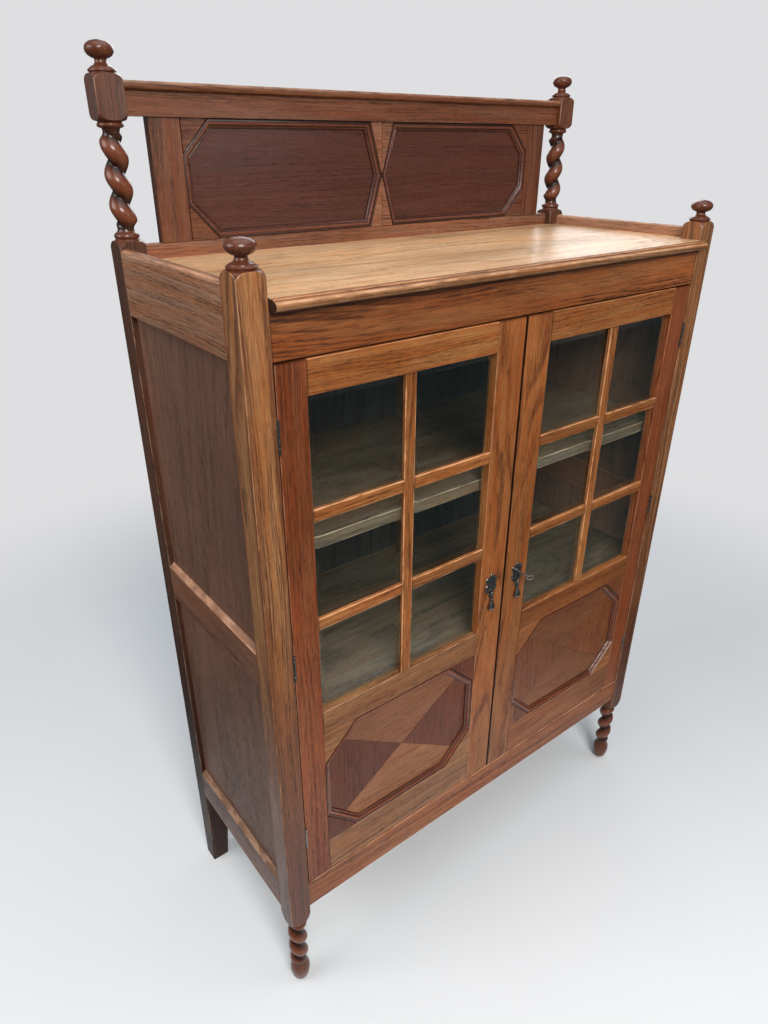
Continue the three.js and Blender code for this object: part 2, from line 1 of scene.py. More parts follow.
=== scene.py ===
"""A glazed oak bookcase with barley-twist feet and gallery columns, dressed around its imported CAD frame.

The frame is in metres: X from left to right, Y from front to back, Z up. Sizes in this script are in
millimetres in the same directions, with Y measured back from the front faces of the front posts. mesh_piece
turns them to metres. Shader graphs, lamps and the camera work in the frame's metres.
"""
import itertools
import math

import bmesh
import bpy
from mathutils import Matrix, Vector


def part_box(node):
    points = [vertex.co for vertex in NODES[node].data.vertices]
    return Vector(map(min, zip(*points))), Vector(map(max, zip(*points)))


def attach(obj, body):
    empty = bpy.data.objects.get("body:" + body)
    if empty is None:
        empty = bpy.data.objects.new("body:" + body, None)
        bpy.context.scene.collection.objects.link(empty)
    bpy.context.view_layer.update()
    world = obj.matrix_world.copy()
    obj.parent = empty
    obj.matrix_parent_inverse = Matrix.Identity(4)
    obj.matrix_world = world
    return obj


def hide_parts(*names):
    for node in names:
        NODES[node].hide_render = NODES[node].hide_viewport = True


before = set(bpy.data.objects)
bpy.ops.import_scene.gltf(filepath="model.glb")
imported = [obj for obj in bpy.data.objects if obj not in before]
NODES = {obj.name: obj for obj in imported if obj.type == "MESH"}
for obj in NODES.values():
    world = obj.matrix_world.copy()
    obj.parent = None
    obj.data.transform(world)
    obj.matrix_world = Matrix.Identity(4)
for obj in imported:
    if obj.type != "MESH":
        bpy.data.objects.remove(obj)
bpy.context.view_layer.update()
MM = 0.001
SIDES = {"left": -1, "right": 1}
POST_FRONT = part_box("post_front_left")[0].y


def limits(node):
    """A CAD node's box, as ((x0, x1), (y0, y1), (z0, z1)) in this script's millimetres."""
    low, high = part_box(node)
    return (
        (low.x / MM, high.x / MM),
        ((low.y - POST_FRONT) / MM, (high.y - POST_FRONT) / MM),
        (low.z / MM, high.z / MM),
    )


def to_frame(point):
    """A point in this script's millimetres, as a vector in the frame."""
    return Vector((point[0] * MM, POST_FRONT + point[1] * MM, point[2] * MM))


HALF = limits("side_rail_middle_right")[0][1]  # half the width over the posts
INNER = limits("frieze_rail")[0][1]  # inner faces of the posts
POST = HALF - INNER  # width of the square sticks
POST_AXIS = HALF - POST / 2
BACK = limits("post_back_right")[1][1]


# ---- Shader graphs ----

# A Mix node's sockets for its factor, its two values and its result.
MIX_SOCKETS = {"RGBA": (0, 6, 7, 2), "FLOAT": (0, 2, 3, 0)}


class Graph:
    """Adds nodes to a node tree and links them as they are made."""

    def __init__(self, tree):
        self.tree = tree
        tree.nodes.clear()

    def add(self, kind, props=None, values=(), **inputs):
        """Values are for the first sockets, and inputs for sockets by name with _ for a space."""
        node = self.tree.nodes.new("ShaderNode" + kind)
        for key, value in (props or {}).items():
            setattr(node, key, value)
        for socket, value in zip(node.inputs, values):
            self.feed(socket, value)
        for key, value in inputs.items():
            self.feed(node.inputs[key.replace("_", " ")], value)
        return node

    def feed(self, socket, value):
        if isinstance(value, bpy.types.NodeSocket):
            self.tree.links.new(value, socket)
        else:
            socket.default_value = value

    def math(self, operation, *values, clamp=False):
        return self.add("Math", {"operation": operation, "use_clamp": clamp}, values).outputs[0]

    def vector(self, operation, *values):
        node = self.add("VectorMath", {"operation": operation}, values)
        return node.outputs["Value" if operation == "LENGTH" else "Vector"]

    def scaled(self, vector, *scale):
        return self.vector("MULTIPLY", vector, scale)

    def mix(self, factor, first, second, blend="MIX", kind="RGBA"):
        node = self.add("Mix", {"data_type": kind, "blend_type": blend})
        *inputs, output = MIX_SOCKETS[kind]
        for index, value in zip(inputs, (factor, first, second)):
            self.feed(node.inputs[index], value)
        return node.outputs[output]

    def mix_shader(self, factor, first, second):
        return self.add("MixShader", values=(factor, first, second)).outputs["Shader"]

    def step(self, value, start, end):
        """0 where value is below start, 1 above end, smooth between; start may be the larger."""
        smooth = {"interpolation_type": "SMOOTHSTEP"}
        return self.add("MapRange", smooth, Value=value, From_Min=start, From_Max=end).outputs["Result"]

    def curve(self, factor, stops):
        """A line of values through [(position, value)]."""
        node = self.add("ValToRGB", Fac=factor)
        elements = node.color_ramp.elements
        while len(elements) < len(stops):
            elements.new(0.5)
        for element, (position, value) in zip(elements, stops):
            element.position = position
            element.color = (value, value, value, 1)
        return node.outputs["Color"]

    def noise(self, vector, scale, detail=2.0, roughness=0.5):
        node = self.add("TexNoise", Vector=vector, Scale=scale, Detail=detail, Roughness=roughness)
        return node.outputs["Fac"]

    def axes(self, vector):
        return self.add("SeparateXYZ", Vector=vector).outputs

    def surface(self, **inputs):
        shader = self.add("BsdfPrincipled", **inputs)
        self.add("OutputMaterial", Surface=shader.outputs["BSDF"])


def rgba(color, factor=1.0):
    """A colour times a factor, with full alpha."""
    return (*(channel * factor for channel in color), 1.0)


def new_material(name):
    material = bpy.data.materials.new(name)
    material.use_nodes = True
    return material, Graph(material.node_tree)


# ---- Oak ----

# Rotations that bring the direction of the grain to Z, where the figure expects it.
GRAIN_TURN = {"x": (0, math.radians(-90), 0), "y": (math.radians(90), 0, 0), "z": (0, 0, 0)}
AXIS_INDEX = {"x": 0, "y": 1, "z": 2}
RING_WIDTH = 6.0  # mm between growth rings
# From the dark, porous wood of one spring to the next, as (share of the ring, lightness).
RING_LIGHTNESS = [(0.0, 0.3), (0.09, 0.0), (0.22, 0.3), (0.45, 0.75), (0.8, 1.0), (0.95, 0.8), (1.0, 0.3)]


def build_figure():
    """Oak cut through its growth rings, with the grain along Z. Its coordinates are in metres."""
    group = bpy.data.node_groups.new("oak figure", "ShaderNodeTree")
    group.interface.new_socket("Vector", in_out="INPUT", socket_type="NodeSocketVector")
    for name in ("Rings", "Fibres", "Pores", "Patches", "Flecks"):
        group.interface.new_socket(name, in_out="OUTPUT", socket_type="NodeSocketFloat")
    g = Graph(group)
    place = g.tree.nodes.new("NodeGroupInput").outputs["Vector"]

    def wander(vector, scale, reach):
        """Shifts across the grain by up to half the reach, in metres."""
        color = g.add("TexNoise", Vector=vector, Scale=scale, Detail=2.0).outputs["Color"]
        return g.vector("MULTIPLY", g.vector("SUBTRACT", color, (0.5, 0.5, 0.5)), (reach, reach, 0))

    sweep = wander(g.scaled(place, 1, 1, 0.3), 4.5, 0.075)
    ripple = wander(g.scaled(place, 1, 1, 0.16), 55.0, 0.0035)
    bent = g.vector("ADD", g.vector("ADD", place, sweep), ripple)
    radius = g.vector("LENGTH", g.scaled(bent, 1, 1, 0.02))
    spread = g.add("TexNoise", {"noise_dimensions": "1D"}, W=radius, Scale=38.0, Detail=2.0).outputs["Fac"]
    years = g.math("MULTIPLY_ADD", spread, 5.0, g.math("DIVIDE", radius, RING_WIDTH * MM))
    ring = g.math("FRACT", years)
    lightness = g.curve(ring, RING_LIGHTNESS)
    fading = g.noise(g.scaled(place, 1, 1, 0.12), 34.0, 2.0)
    shown = g.math("MULTIPLY", g.math("SUBTRACT", 1.0, lightness), g.step(fading, 0.3, 0.62))
    rings = g.math("SUBTRACT", 1.0, shown)
    fibres = g.noise(g.scaled(place, 1, 1, 0.03), 560.0, 4.0, 0.75)
    dashes = g.noise(g.scaled(place, 1, 1, 0.06), 900.0, 1.0)
    pores = g.math("MULTIPLY", g.step(dashes, 0.52, 0.6), g.math("SUBTRACT", 1.35, rings), clamp=True)
    patches = g.noise(g.scaled(place, 1, 1, 0.35), 5.0, 3.0)
    flecks = g.step(g.noise(g.scaled(place, 0.35, 1.6, 0.5), 190.0, 1.0), 0.6, 0.72)

    out = g.tree.nodes.new("NodeGroupOutput")
    values = {"Rings": rings, "Fibres": fibres, "Pores": pores, "Patches": patches, "Flecks": flecks}
    for name, value in values.items():
        g.feed(out.inputs[name], value)
    return group


FIGURE = build_figure()

# The lightest and the darkest part of the figure in each tone.
TONES = {
    # The top board's tone, lighter and paler than its oak, partly as a painted sheen.
    "golden sheen": ((0.78, 0.49, 0.28), (0.45, 0.24, 0.115)),
    "post": ((0.345, 0.148, 0.057), (0.1, 0.033, 0.013)),
    "case": ((0.335, 0.106, 0.031), (0.085, 0.021, 0.006)),
    "door": ((0.36, 0.12, 0.034), (0.12, 0.032, 0.009)),
    "door gold": ((0.42, 0.15, 0.042), (0.14, 0.04, 0.011)),
    "red": ((0.28, 0.074, 0.024), (0.1, 0.023, 0.008)),
    "side": ((0.17, 0.06, 0.028), (0.06, 0.019, 0.009)),
    "side dark": ((0.1, 0.036, 0.018), (0.035, 0.012, 0.006)),
    "side light": ((0.26, 0.108, 0.06), (0.1, 0.036, 0.018)),
    "side pale": ((0.36, 0.172, 0.1), (0.14, 0.06, 0.032)),
    "panel": ((0.2, 0.096, 0.06), (0.09, 0.04, 0.026)),
    "pale veneer": ((0.42, 0.165, 0.065), (0.24, 0.082, 0.03)),
    "light veneer": ((0.27, 0.1, 0.04), (0.15, 0.048, 0.018)),
    "mid veneer": ((0.23, 0.074, 0.027), (0.125, 0.036, 0.012)),
    "dark veneer": ((0.17, 0.042, 0.013), (0.085, 0.019, 0.006)),
    "dark": ((0.12, 0.034, 0.015), (0.03, 0.008, 0.004)),
    "gallery": ((0.096, 0.031, 0.018), (0.044, 0.013, 0.008)),
    "shelf": ((0.175, 0.108, 0.068), (0.085, 0.051, 0.032)),
    "inside": ((0.05, 0.036, 0.028), (0.025, 0.018, 0.014)),
    "end": ((0.045, 0.018, 0.01), (0.02, 0.008, 0.005)),
}
# The pale of bare oak on edges and moulding faces, made brighter to serve also as a painted highlight.
BARE_OAK_AND_HIGHLIGHT = (0.62, 0.45, 0.3)
BOARD_NUMBERS = itertools.count(1)  # every board is sawn from its own part of the tree
TURN_BETWEEN_BOARDS = 2.4  # radians the heart of the tree moves round from one board to the next
LENGTH_BETWEEN_BOARDS = 0.731  # metres along the tree from one board to the next
# Painted shade in the fillets and a painted highlight on the bead, with some grime and wear, down a sunk
# moulding, as (share of its depth, share of the gain just below).
MOULDING_SHADING_GAIN = 2.2
MOULDING_SHADE = [
    (0.0, 0.4), (0.07, 0.3), (0.12, 0.06), (0.17, 0.14), (0.21, 0.95), (0.26, 0.6), (0.34, 0.33),
    (0.55, 0.25), (0.61, 0.06), (0.65, 0.85), (0.7, 0.4), (0.8, 0.12), (1.0, 0.1),
]
DARKER_BELOW = (1.05, 0.25)  # metres above the floor at which the posts' darkening starts, and is full
DARKER_BELOW_TINT = (0.38, 0.22, 0.16, 1.0)
FLAT_FACE = (0.02085, 0.0215)  # metres from a stick's axis at which turned wood ends and a flat face starts
TWIST_DEPTHS = (0.0105, 0.0205)  # metres from a stick's axis at which a twist is darkest, with grime and painted shade deep in its grooves, and lightest, with wear and a painted highlight on its crests
POST_EDGE_BAND = (0.026, 0.008)  # metres from a post's edges at which its darker band starts, and is full
GRIMY_END = (0.0035, 0.0004)  # metres from a board's end at which its grime starts, and is full
DOOR_GAP_SHADE = (0.0038, 0.0022)  # metres from the line where the doors meet at which the painted shade of the gap starts, and is full


def oak(
    tone, grain, board=None, stick=None, sunk=None, seam=False,
    polish=0.6, contrast=1.0, worn=0.8, leaning=0.0, pith=90, coarse=1.0,
):
    """Stained and polished oak, made anew for each board.

    grain is the axis along the board. board, its limits, has its long edges painted pale, partly as wear and
    partly as a painted highlight, and its ends grimy. stick, ((x, y), turning), is a stick's axis and where
    it is turned. sunk, (face, panel), is the depth over which a moulding's fillets are painted dark as shade
    and its bead painted pale as a highlight, with some grime and wear. seam is for a board with painted shade
    along the line where the doors meet. leaning is the strength of the pale wear and painted highlight on a
    moulding's faces that lie between the main directions. polish runs from 0, dull, to 1. contrast is the
    strength of the growth rings, coarse their width, and pith the distance of the heart of the tree in mm.
    """
    light, dark = TONES[tone]
    number = next(BOARD_NUMBERS)
    material, g = new_material(f"oak {tone} {number}")
    coordinates = g.add("TexCoord").outputs
    position = coordinates["Object"]
    place = g.scaled(tree_place(g, position, grain, pith, number), 1 / coarse, 1 / coarse, 1 / coarse)
    figure = g.add("Group", {"node_tree": FIGURE}, Vector=place).outputs
    color = stained_color(g, place, figure, light, dark, contrast)
    smears = g.noise(place, 22.0, 3.0, 0.6)
    roughness = g.math("MULTIPLY_ADD", smears, 0.22, 0.44 - 0.28 * polish)
    roughness = g.math("MULTIPLY_ADD", figure["Pores"], 0.18, roughness)
    relief = g.math("MULTIPLY_ADD", figure["Pores"], -0.6, g.math("MULTIPLY", figure["Fibres"], 0.3))

    # Pale for edges and moulding faces: partly wear, partly a painted highlight.
    pale = rgba(0.6 * 1.7 * stained + 0.4 * bare for stained, bare in zip(light, BARE_OAK_AND_HIGHLIGHT))
    patch_noise = g.noise(g.scaled(place, 1, 1, 0.4), 60.0, 4.0, 0.65)
    if board or stick:
        edge, end = edge_distances(g, position, grain, board, stick)
    if stick:
        # The posts are darker towards the bottom.
        color = g.mix(g.step(g.axes(position)[2], *DARKER_BELOW), color, DARKER_BELOW_TINT, "MULTIPLY")
        # The posts are darker along their edges.
        edge_band = g.step(g.math("MULTIPLY_ADD", patch_noise, 0.024, edge), *POST_EDGE_BAND)
        color = g.mix(g.math("MULTIPLY", edge_band, 0.75), color, rgba(dark, 1.5))
        color, roughness = turned_finish(g, position, color, roughness, stick)
    # Pale long edges: wear, and a painted highlight along the arrises.
    if board or stick:
        reach = g.math("MULTIPLY_ADD", g.step(patch_noise, 0.36, 0.7), 0.0016 * worn, 0.0009)
        edge_wear_and_highlight_mask = g.step(g.math("DIVIDE", edge, reach), 1.0, 0.3)
        color = g.mix(g.math("MULTIPLY", edge_wear_and_highlight_mask, min(1.0, 0.7 * worn)), color, pale)
    if board:
        color = g.mix(g.math("MULTIPLY", g.step(end, *GRIMY_END), 0.55), color, rgba(dark, 0.3))
    # Pale moulding faces between the main directions: wear, and a painted highlight.
    if leaning:
        color = g.mix(lean_wear_and_highlight(g, coordinates["Normal"], patch_noise, leaning), color, pale)
    if seam:
        # Painted shade of the gap where the doors meet, on the meeting stile.
        from_seam = g.math("ABSOLUTE", g.axes(position)[0])
        color = g.mix(g.step(from_seam, *DOOR_GAP_SHADE), color, rgba(dark, 0.12))
    if sunk:
        # Painted shade in the sunk moulding's fillets and a painted highlight on its bead, partly grime and
        # wear.
        color = g.mix(1.0, color, moulding_shade(g, position, sunk), "MULTIPLY")

    bump = g.add("Bump", Strength=0.35, Distance=0.0004, Height=relief)
    coat = {"Coat_Weight": (0.6 if stick or sunk else 0.12) * polish, "Coat_Roughness": 0.15}
    g.surface(Base_Color=color, Roughness=roughness, Normal=bump.outputs["Normal"], IOR=1.35, **coat)
    return material


def tree_place(g, position, grain, pith, number):
    """A place on a numbered board, as a place in the tree it was sawn from."""
    angle = number * TURN_BETWEEN_BOARDS
    heart = (pith * MM * math.cos(angle), pith * MM * math.sin(angle), number * LENGTH_BETWEEN_BOARDS)
    return g.add("Mapping", Vector=position, Location=heart, Rotation=GRAIN_TURN[grain]).outputs["Vector"]


def stained_color(g, place, figure, light, dark, contrast):
    """The colour of stained oak before any wear."""
    lines = g.math("MULTIPLY_ADD", g.math("SUBTRACT", figure["Rings"], 0.7), 0.62 * contrast, 0.6)
    fibres = g.math("SUBTRACT", figure["Fibres"], 0.5)
    level = g.math("MULTIPLY_ADD", fibres, 1.7 + 0.8 * contrast, lines, clamp=True)
    color = g.mix(level, rgba(dark), rgba(light))
    hue = g.step(g.noise(g.scaled(place, 1, 1, 0.06), 75.0, 3.0, 0.6), 0.34, 0.68)
    warmth = g.mix(hue, (1.0, 0.84, 0.66, 1), (1.06, 1.2, 1.3, 1))
    color = g.mix(min(1.0, contrast), color, warmth, "MULTIPLY")
    color = g.mix(g.math("MULTIPLY", figure["Flecks"], 0.16), color, rgba(light, 1.25))
    color = g.mix(g.math("MULTIPLY", figure["Pores"], 0.7), color, rgba(dark, 0.35))
    tint = g.math("MULTIPLY_ADD", g.step(figure["Patches"], 0.28, 0.72), 0.46, 0.76)
    return g.mix(1.0, color, tint, "MULTIPLY")


def moulding_shade(g, position, sunk):
    """What the colour of a sunk moulding is multiplied by, by depth: painted shade in its fillets and a
    painted highlight on its bead, with some grime and wear.
    """
    face, panel = (to_frame((0, y, 0)).y for y in sunk)
    depth = g.math("DIVIDE", g.math("SUBTRACT", g.axes(position)[1], face), panel - face)
    return g.math("MULTIPLY", g.curve(depth, MOULDING_SHADE), MOULDING_SHADING_GAIN)


def from_stick(g, position, stick):
    """How far a point is to the side of a stick's axis, as (X, Y, 0) in metres."""
    axis = to_frame((*stick[0], 0))
    return g.scaled(g.vector("SUBTRACT", position, (axis.x, axis.y, 0)), 1, 1, 0)


def edge_distances(g, position, grain, board, stick):
    """Metres from a point to the nearest long edge, and on a board to the nearest end."""
    if stick:
        parts = g.axes(g.vector("ABSOLUTE", from_stick(g, position, stick)))
        return g.math("SUBTRACT", POST / 2 * MM, g.math("MINIMUM", parts[0], parts[1])), None
    low, high = (to_frame(corner) for corner in zip(*board))
    middle, reach = (low + high) / 2, (high - low) / 2
    offset = g.vector("ABSOLUTE", g.vector("SUBTRACT", position, tuple(middle)))
    parts = g.axes(g.vector("SUBTRACT", tuple(reach), offset))
    along = AXIS_INDEX[grain]
    across = [parts[i] for i in range(3) if i != along]
    return g.math("MAXIMUM", *across), parts[along]


def turned_finish(g, position, color, roughness, stick):
    """Off the square faces of a turned stick the finish is dark and glossy; a twist has grime and painted
    shade deep in its grooves, and wear and a painted highlight on its crests.
    """
    _, turning = stick
    light, dark = TONES["dark"]
    height = g.axes(position)[2]

    def between(low, high, fade=4):
        above = g.step(height, (low - fade) * MM, low * MM)
        return g.math("MULTIPLY", above, g.step(height, (high + fade) * MM, high * MM))

    from_axis = from_stick(g, position, stick)
    parts = g.axes(g.vector("ABSOLUTE", from_axis))
    reach = g.math("MAXIMUM", parts[0], parts[1])
    flat = g.step(reach, *FLAT_FACE)
    flat = g.math("MAXIMUM", flat, between(*turning["square"]))
    streak = g.noise(g.scaled(position, 1, 1, 0.15), 300.0, 3.0, 0.6)
    # Painted shade in the twist's grooves and a painted highlight on its crests, partly grime and wear.
    crest = g.step(g.vector("LENGTH", from_axis), *TWIST_DEPTHS)
    in_twist = between(turning["from"], turning["to"])
    depth = g.math("MULTIPLY_ADD", g.math("SUBTRACT", crest, 0.6), in_twist, 0.6)
    level = g.math("MULTIPLY_ADD", g.math("SUBTRACT", streak, 0.5), 0.8, depth, clamp=True)
    color = g.mix(flat, g.mix(level, rgba(dark, 0.4), rgba(light, 1.35)), color)
    shine = g.math("MULTIPLY_ADD", streak, 0.2, 0.2)
    return color, g.mix(flat, shine, roughness, kind="FLOAT")


def lean_wear_and_highlight(g, normal, patch_noise, strength):
    """Where a moulding's faces between the main directions are painted pale in patches: partly the finish
    wearing through, partly a painted highlight.
    """
    parts = g.axes(g.vector("ABSOLUTE", normal))
    flattest = g.math("MAXIMUM", g.math("MAXIMUM", parts[0], parts[1]), parts[2])
    patchy = g.math("MULTIPLY_ADD", g.step(patch_noise, 0.35, 0.65), 0.75, 0.25)
    return g.math("MULTIPLY", g.math("MULTIPLY", g.step(flattest, 0.97, 0.78), patchy), strength, clamp=True)


# ---- Metal and glass ----


def metal(name, color, dark, roughness, grime):
    """Old metal with a patina that is darker and rougher in patches."""
    material, g = new_material(name)
    place = g.add("TexCoord").outputs["Object"]
    patina = g.step(g.noise(place, 260.0, 5.0, 0.65), 0.38, 0.66)
    scratches = g.noise(g.scaled(place, 1, 1, 0.12), 2200.0, 2.0)
    tint = g.mix(g.math("MULTIPLY", patina, grime), rgba(color), rgba(dark))
    rough = g.math("MULTIPLY_ADD", patina, 0.25, roughness)
    rough = g.math("MULTIPLY_ADD", scratches, 0.12, rough)
    bump = g.add("Bump", Strength=0.3, Distance=0.0002, Height=g.noise(place, 900.0, 3.0))
    g.surface(Base_Color=tint, Roughness=rough, Normal=bump.outputs["Normal"], Metallic=1.0)
    return material


def glass():
    """Old plate glass: faintly green, with a slow ripple and a little dust in its roughness."""
    material, g = new_material("glass")
    place = g.add("TexCoord").outputs["Object"]
    dust = g.math("MULTIPLY", g.step(g.noise(place, 30.0, 4.0, 0.7), 0.5, 0.9), 0.04)
    bump = g.add("Bump", Strength=0.04, Distance=0.001, Height=g.noise(place, 9.0, 1.0))
    optics = {"Base_Color": (0.77, 0.88, 0.91, 1), "Transmission_Weight": 1.0, "IOR": 1.42}
    plate = g.add("BsdfPrincipled", Roughness=dust, Normal=bump.outputs["Normal"], **optics).outputs["BSDF"]
    lamps = g.add("BsdfTransparent", Color=(0.85, 0.9, 0.88, 1)).outputs["BSDF"]
    shadow = g.add("LightPath").outputs["Is Shadow Ray"]
    g.add("OutputMaterial", Surface=g.mix_shader(shadow, plate, lamps))
    return material


BRONZE = metal("bronze", (0.36, 0.33, 0.3), (0.02, 0.017, 0.016), 0.2, grime=0.92)
STEEL = metal("steel", (0.46, 0.43, 0.4), (0.1, 0.08, 0.065), 0.24, grime=0.75)
GLASS = glass()


# ---- Meshes ----


def mesh_piece(name, node, body, shells, materials, smooth=30, choose=None):
    """Makes one object from closed shells, each (vertices in mm, faces), in place of a CAD node on a body.

    choose(shell index, face centre in mm, face normal) gives the index of a face's material.
    """
    mesh = bpy.data.meshes.new(name)
    build = bmesh.new()
    for index, (vertices, faces) in enumerate(shells):
        made = [build.verts.new(vertex) for vertex in vertices]
        new = [build.faces.new([made[i] for i in face]) for face in faces]
        bmesh.ops.recalc_face_normals(build, faces=new)
        for face in new if choose else ():
            face.material_index = choose(index, face.calc_center_median(), face.normal)
    for vertex in build.verts:
        vertex.co = to_frame(vertex.co)
    build.to_mesh(mesh)
    build.free()
    for material in materials:
        mesh.materials.append(material)
    mesh.shade_smooth()
    mesh.set_sharp_from_angle(angle=math.radians(smooth))
    piece = bpy.data.objects.new(name, mesh)
    bpy.context.scene.collection.objects.link(piece)
    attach(piece, body)
    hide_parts(node)


def by_shell(index, centre, normal):
    """For mesh_piece, gives each shell a material of its own."""
    return index


def loft(rings, closed=True):
    """A shell through rings with the same number of points, with end caps, or a closed cycle of rings."""
    count = len(rings[0])
    vertices = [point for ring in rings for point in ring]
    faces = []
    for k in range(len(rings) - 1 if closed else len(rings)):
        here, there = k * count, (k + 1) % len(rings) * count
        for i in range(count):
            j = (i + 1) % count
            faces.append((here + i, here + j, there + j, there + i))
    if closed:
        faces.append(tuple(range(count - 1, -1, -1)))
        faces.append(tuple(range((len(rings) - 1) * count, len(rings) * count)))
    return vertices, faces


AXES = {
    "x": lambda along, u, v: (along, u, v),
    "y": lambda along, u, v: (u, along, v),
    "z": lambda along, u, v: (u, v, along),
}


def loft_along(axis, rows, closed=True):
    """A shell through outlines, each (distance along the axis, outline)."""
    place = AXES[axis]
    return loft([[place(along, u, v) for u, v in outline] for along, outline in rows], closed)


def inset(outline, distance):
    """Moves each side of a closed anticlockwise outline inwards."""
    moved = []
    for i, point in enumerate(outline):
        before, after = outline[i - 1], outline[(i + 1) % len(outline)]
        normals = []
        for start, end in ((before, point), (point, after)):
            length = math.hypot(end[0] - start[0], end[1] - start[1])
            normals.append(((start[1] - end[1]) / length, (end[0] - start[0]) / length))
        (au, av), (bu, bv) = normals
        scale = distance / (1 + au * bu + av * bv)
        moved.append((point[0] + (au + bu) * scale, point[1] + (av + bv) * scale))
    return moved


def anticlockwise(outline):
    area = sum(a[0] * b[1] - b[0] * a[1] for a, b in zip(outline, outline[1:] + outline[:1]))
    return outline if area > 0 else outline[::-1]


def prism(outline, axis, span, ease=0.0):
    """An outline run along an axis between two distances, with its end edges eased."""
    outline = anticlockwise(outline)
    start, end = span
    rows = [(start, outline), (end, outline)]
    if ease:
        eased = inset(outline, ease)
        rows = [(start, eased), (start + ease, outline), (end - ease, outline), (end, eased)]
    return loft_along(axis, rows)


def rectangle(u, v, radius=0.0, steps=3):
    """A rectangle with rounded corners."""
    if not radius:
        return [(u[0], v[0]), (u[1], v[0]), (u[1], v[1]), (u[0], v[1])]
    points = []
    corners = (u[1] - radius, v[1] - radius), (u[0] + radius, v[1] - radius)
    corners += (u[0] + radius, v[0] + radius), (u[1] - radius, v[0] + radius)
    for quarter, (cu, cv) in enumerate(corners):
        for step in range(steps + 1):
            angle = math.pi / 2 * (quarter + step / steps)
            points.append((cu + radius * math.cos(angle), cv + radius * math.sin(angle)))
    return points


def turns(count, start=0.0):
    """Equal steps all round, in radians."""
    return [2 * math.pi * (i + start) / count for i in range(count)]


def circle(u, v, radius, sides):
    return [(u + radius * math.cos(turn), v + radius * math.sin(turn)) for turn in turns(sides, 0.5)]


def lathe(profile, axis, centre, segments=32, flatness=1.0):
    """A solid of revolution from [(radius, distance along axis)] about a centre line (u, v)."""
    rows = []
    for radius, along in profile:
        shape = circle(0, 0, max(radius, 0.01), segments)
        rows.append((along, [(centre[0] + u, centre[1] + v * flatness) for u, v in shape]))
    return loft_along(axis, rows)


def shifted(points, distance):
    """Moves 2-D points along the second axis."""
    return [(u, v + distance) for u, v in points]


def spline(points, steps=5):
    """A smooth line through 2-D points. A point given twice is a sharp corner."""
    line = []
    for i in range(len(points) - 1):
        start, end = Vector(points[i]), Vector(points[i + 1])
        span = end - start
        if span.length < 1e-9:
            continue
        before = Vector(points[i - 1]) if i > 0 else start
        after = Vector(points[i + 2]) if i + 2 < len(points) else end
        leave = (end - before) / 2 if (start - before).length > 1e-9 else span
        arrive = (after - start) / 2 if (after - end).length > 1e-9 else span
        leave = leave.normalized() * min(leave.length, span.length)
        arrive = arrive.normalized() * min(arrive.length, span.length)
        for step in range(steps):
            t = step / steps
            leaving, arriving = t * (1 - t) ** 2, t * t * (t - 1)
            line.append(start + span * (3 * t * t - 2 * t**3) + leave * leaving + arrive * arriving)
    line.append(Vector(points[-1]))
    return [tuple(point) for point in line]


def dress(node, material):
    """Gives a CAD node its finished material."""
    slots = NODES[node].data.materials
    slots.clear()
    slots.append(material)


# ---- Turned work ----

CORNER = POST / math.sqrt(2)
ARRIS = 2.2  # radius of the worn corners of the square sticks
TWIST = {"pitch": 44, "crest": 19.7, "groove": 10.4, "roundness": 1.15, "fade": 13}
# Where each stick has its twist, and the heights between which it is left square.
FOOT_TWIST = {"from": 60, "to": 194, "crest_z": 154, "plain": 14, "square": (236, 1441)}
GALLERY_TWIST = {"from": 1477, "to": 1616, "crest_z": 1553, "plain": 12.6, "square": (1646, 1674)}
BACK_TURNING = {"from": 1441, "to": 1441, "square": (-10, 1439)}
# Angles round a stick, in degrees from the middle of a face, closer together at the corners.
FACE_ANGLES = [3.5 * i for i in range(-11, 12)]
CORNER_ANGLES = [42, 43, 44, 45, 46, 47, 48]
TURN_ANGLES = [math.radians(90 * face + a) for face in range(4) for a in FACE_ANGLES + CORNER_ANGLES]


def square_radius(angle):
    """Half the width of the square stick with rounded corners, from its axis at an angle round it."""
    fold = abs((angle + math.pi / 4) % (math.pi / 2) - math.pi / 4)
    core = POST / 2 - ARRIS
    if math.tan(fold) * POST / 2 <= core:
        return POST / 2 / math.cos(fold)
    towards = core * (math.cos(fold) + math.sin(fold))
    return towards + math.sqrt(max(0.0, towards**2 - 2 * core**2 + ARRIS**2))


def twist_radius(twist, sign, angle, z):
    """A broad strand between sharp grooves, which fades to a plain round at both ends."""
    outwards = math.pi if sign < 0 else 0.0
    from_crest = angle - outwards - sign * 2 * math.pi * (z - twist["crest_z"]) / TWIST["pitch"]
    height = TWIST["crest"] - TWIST["groove"]
    strand = TWIST["groove"] + height * abs(math.cos(from_crest / 2)) ** TWIST["roundness"]
    share = min(1.0, max(0.0, min(z - twist["from"], twist["to"] - z) / TWIST["fade"]))
    return twist["plain"] + (strand - twist["plain"]) * share * share * (3 - 2 * share)


def turned_stick(profile, sign, axis, twist=None):
    """A stick turned from a square: where the profile is wider than the square, its flat faces are left."""
    rings = []
    for radius, z in profile:
        ring = []
        in_twist = twist and twist["from"] < z < twist["to"]
        for angle in TURN_ANGLES:
            reach = twist_radius(twist, sign, angle, z) if in_twist else min(radius, square_radius(angle))
            ring.append((axis[0] + reach * math.cos(angle), axis[1] + reach * math.sin(angle), z))
        rings.append(ring)
    return rings


def twist_rows(twist):
    """Close rows for a twist, about 1.5 mm apart."""
    count = round((twist["to"] - twist["from"]) / 1.5)
    step = (twist["to"] - twist["from"]) / count
    return [(twist["plain"], twist["from"] + step * i) for i in range(1, count)]


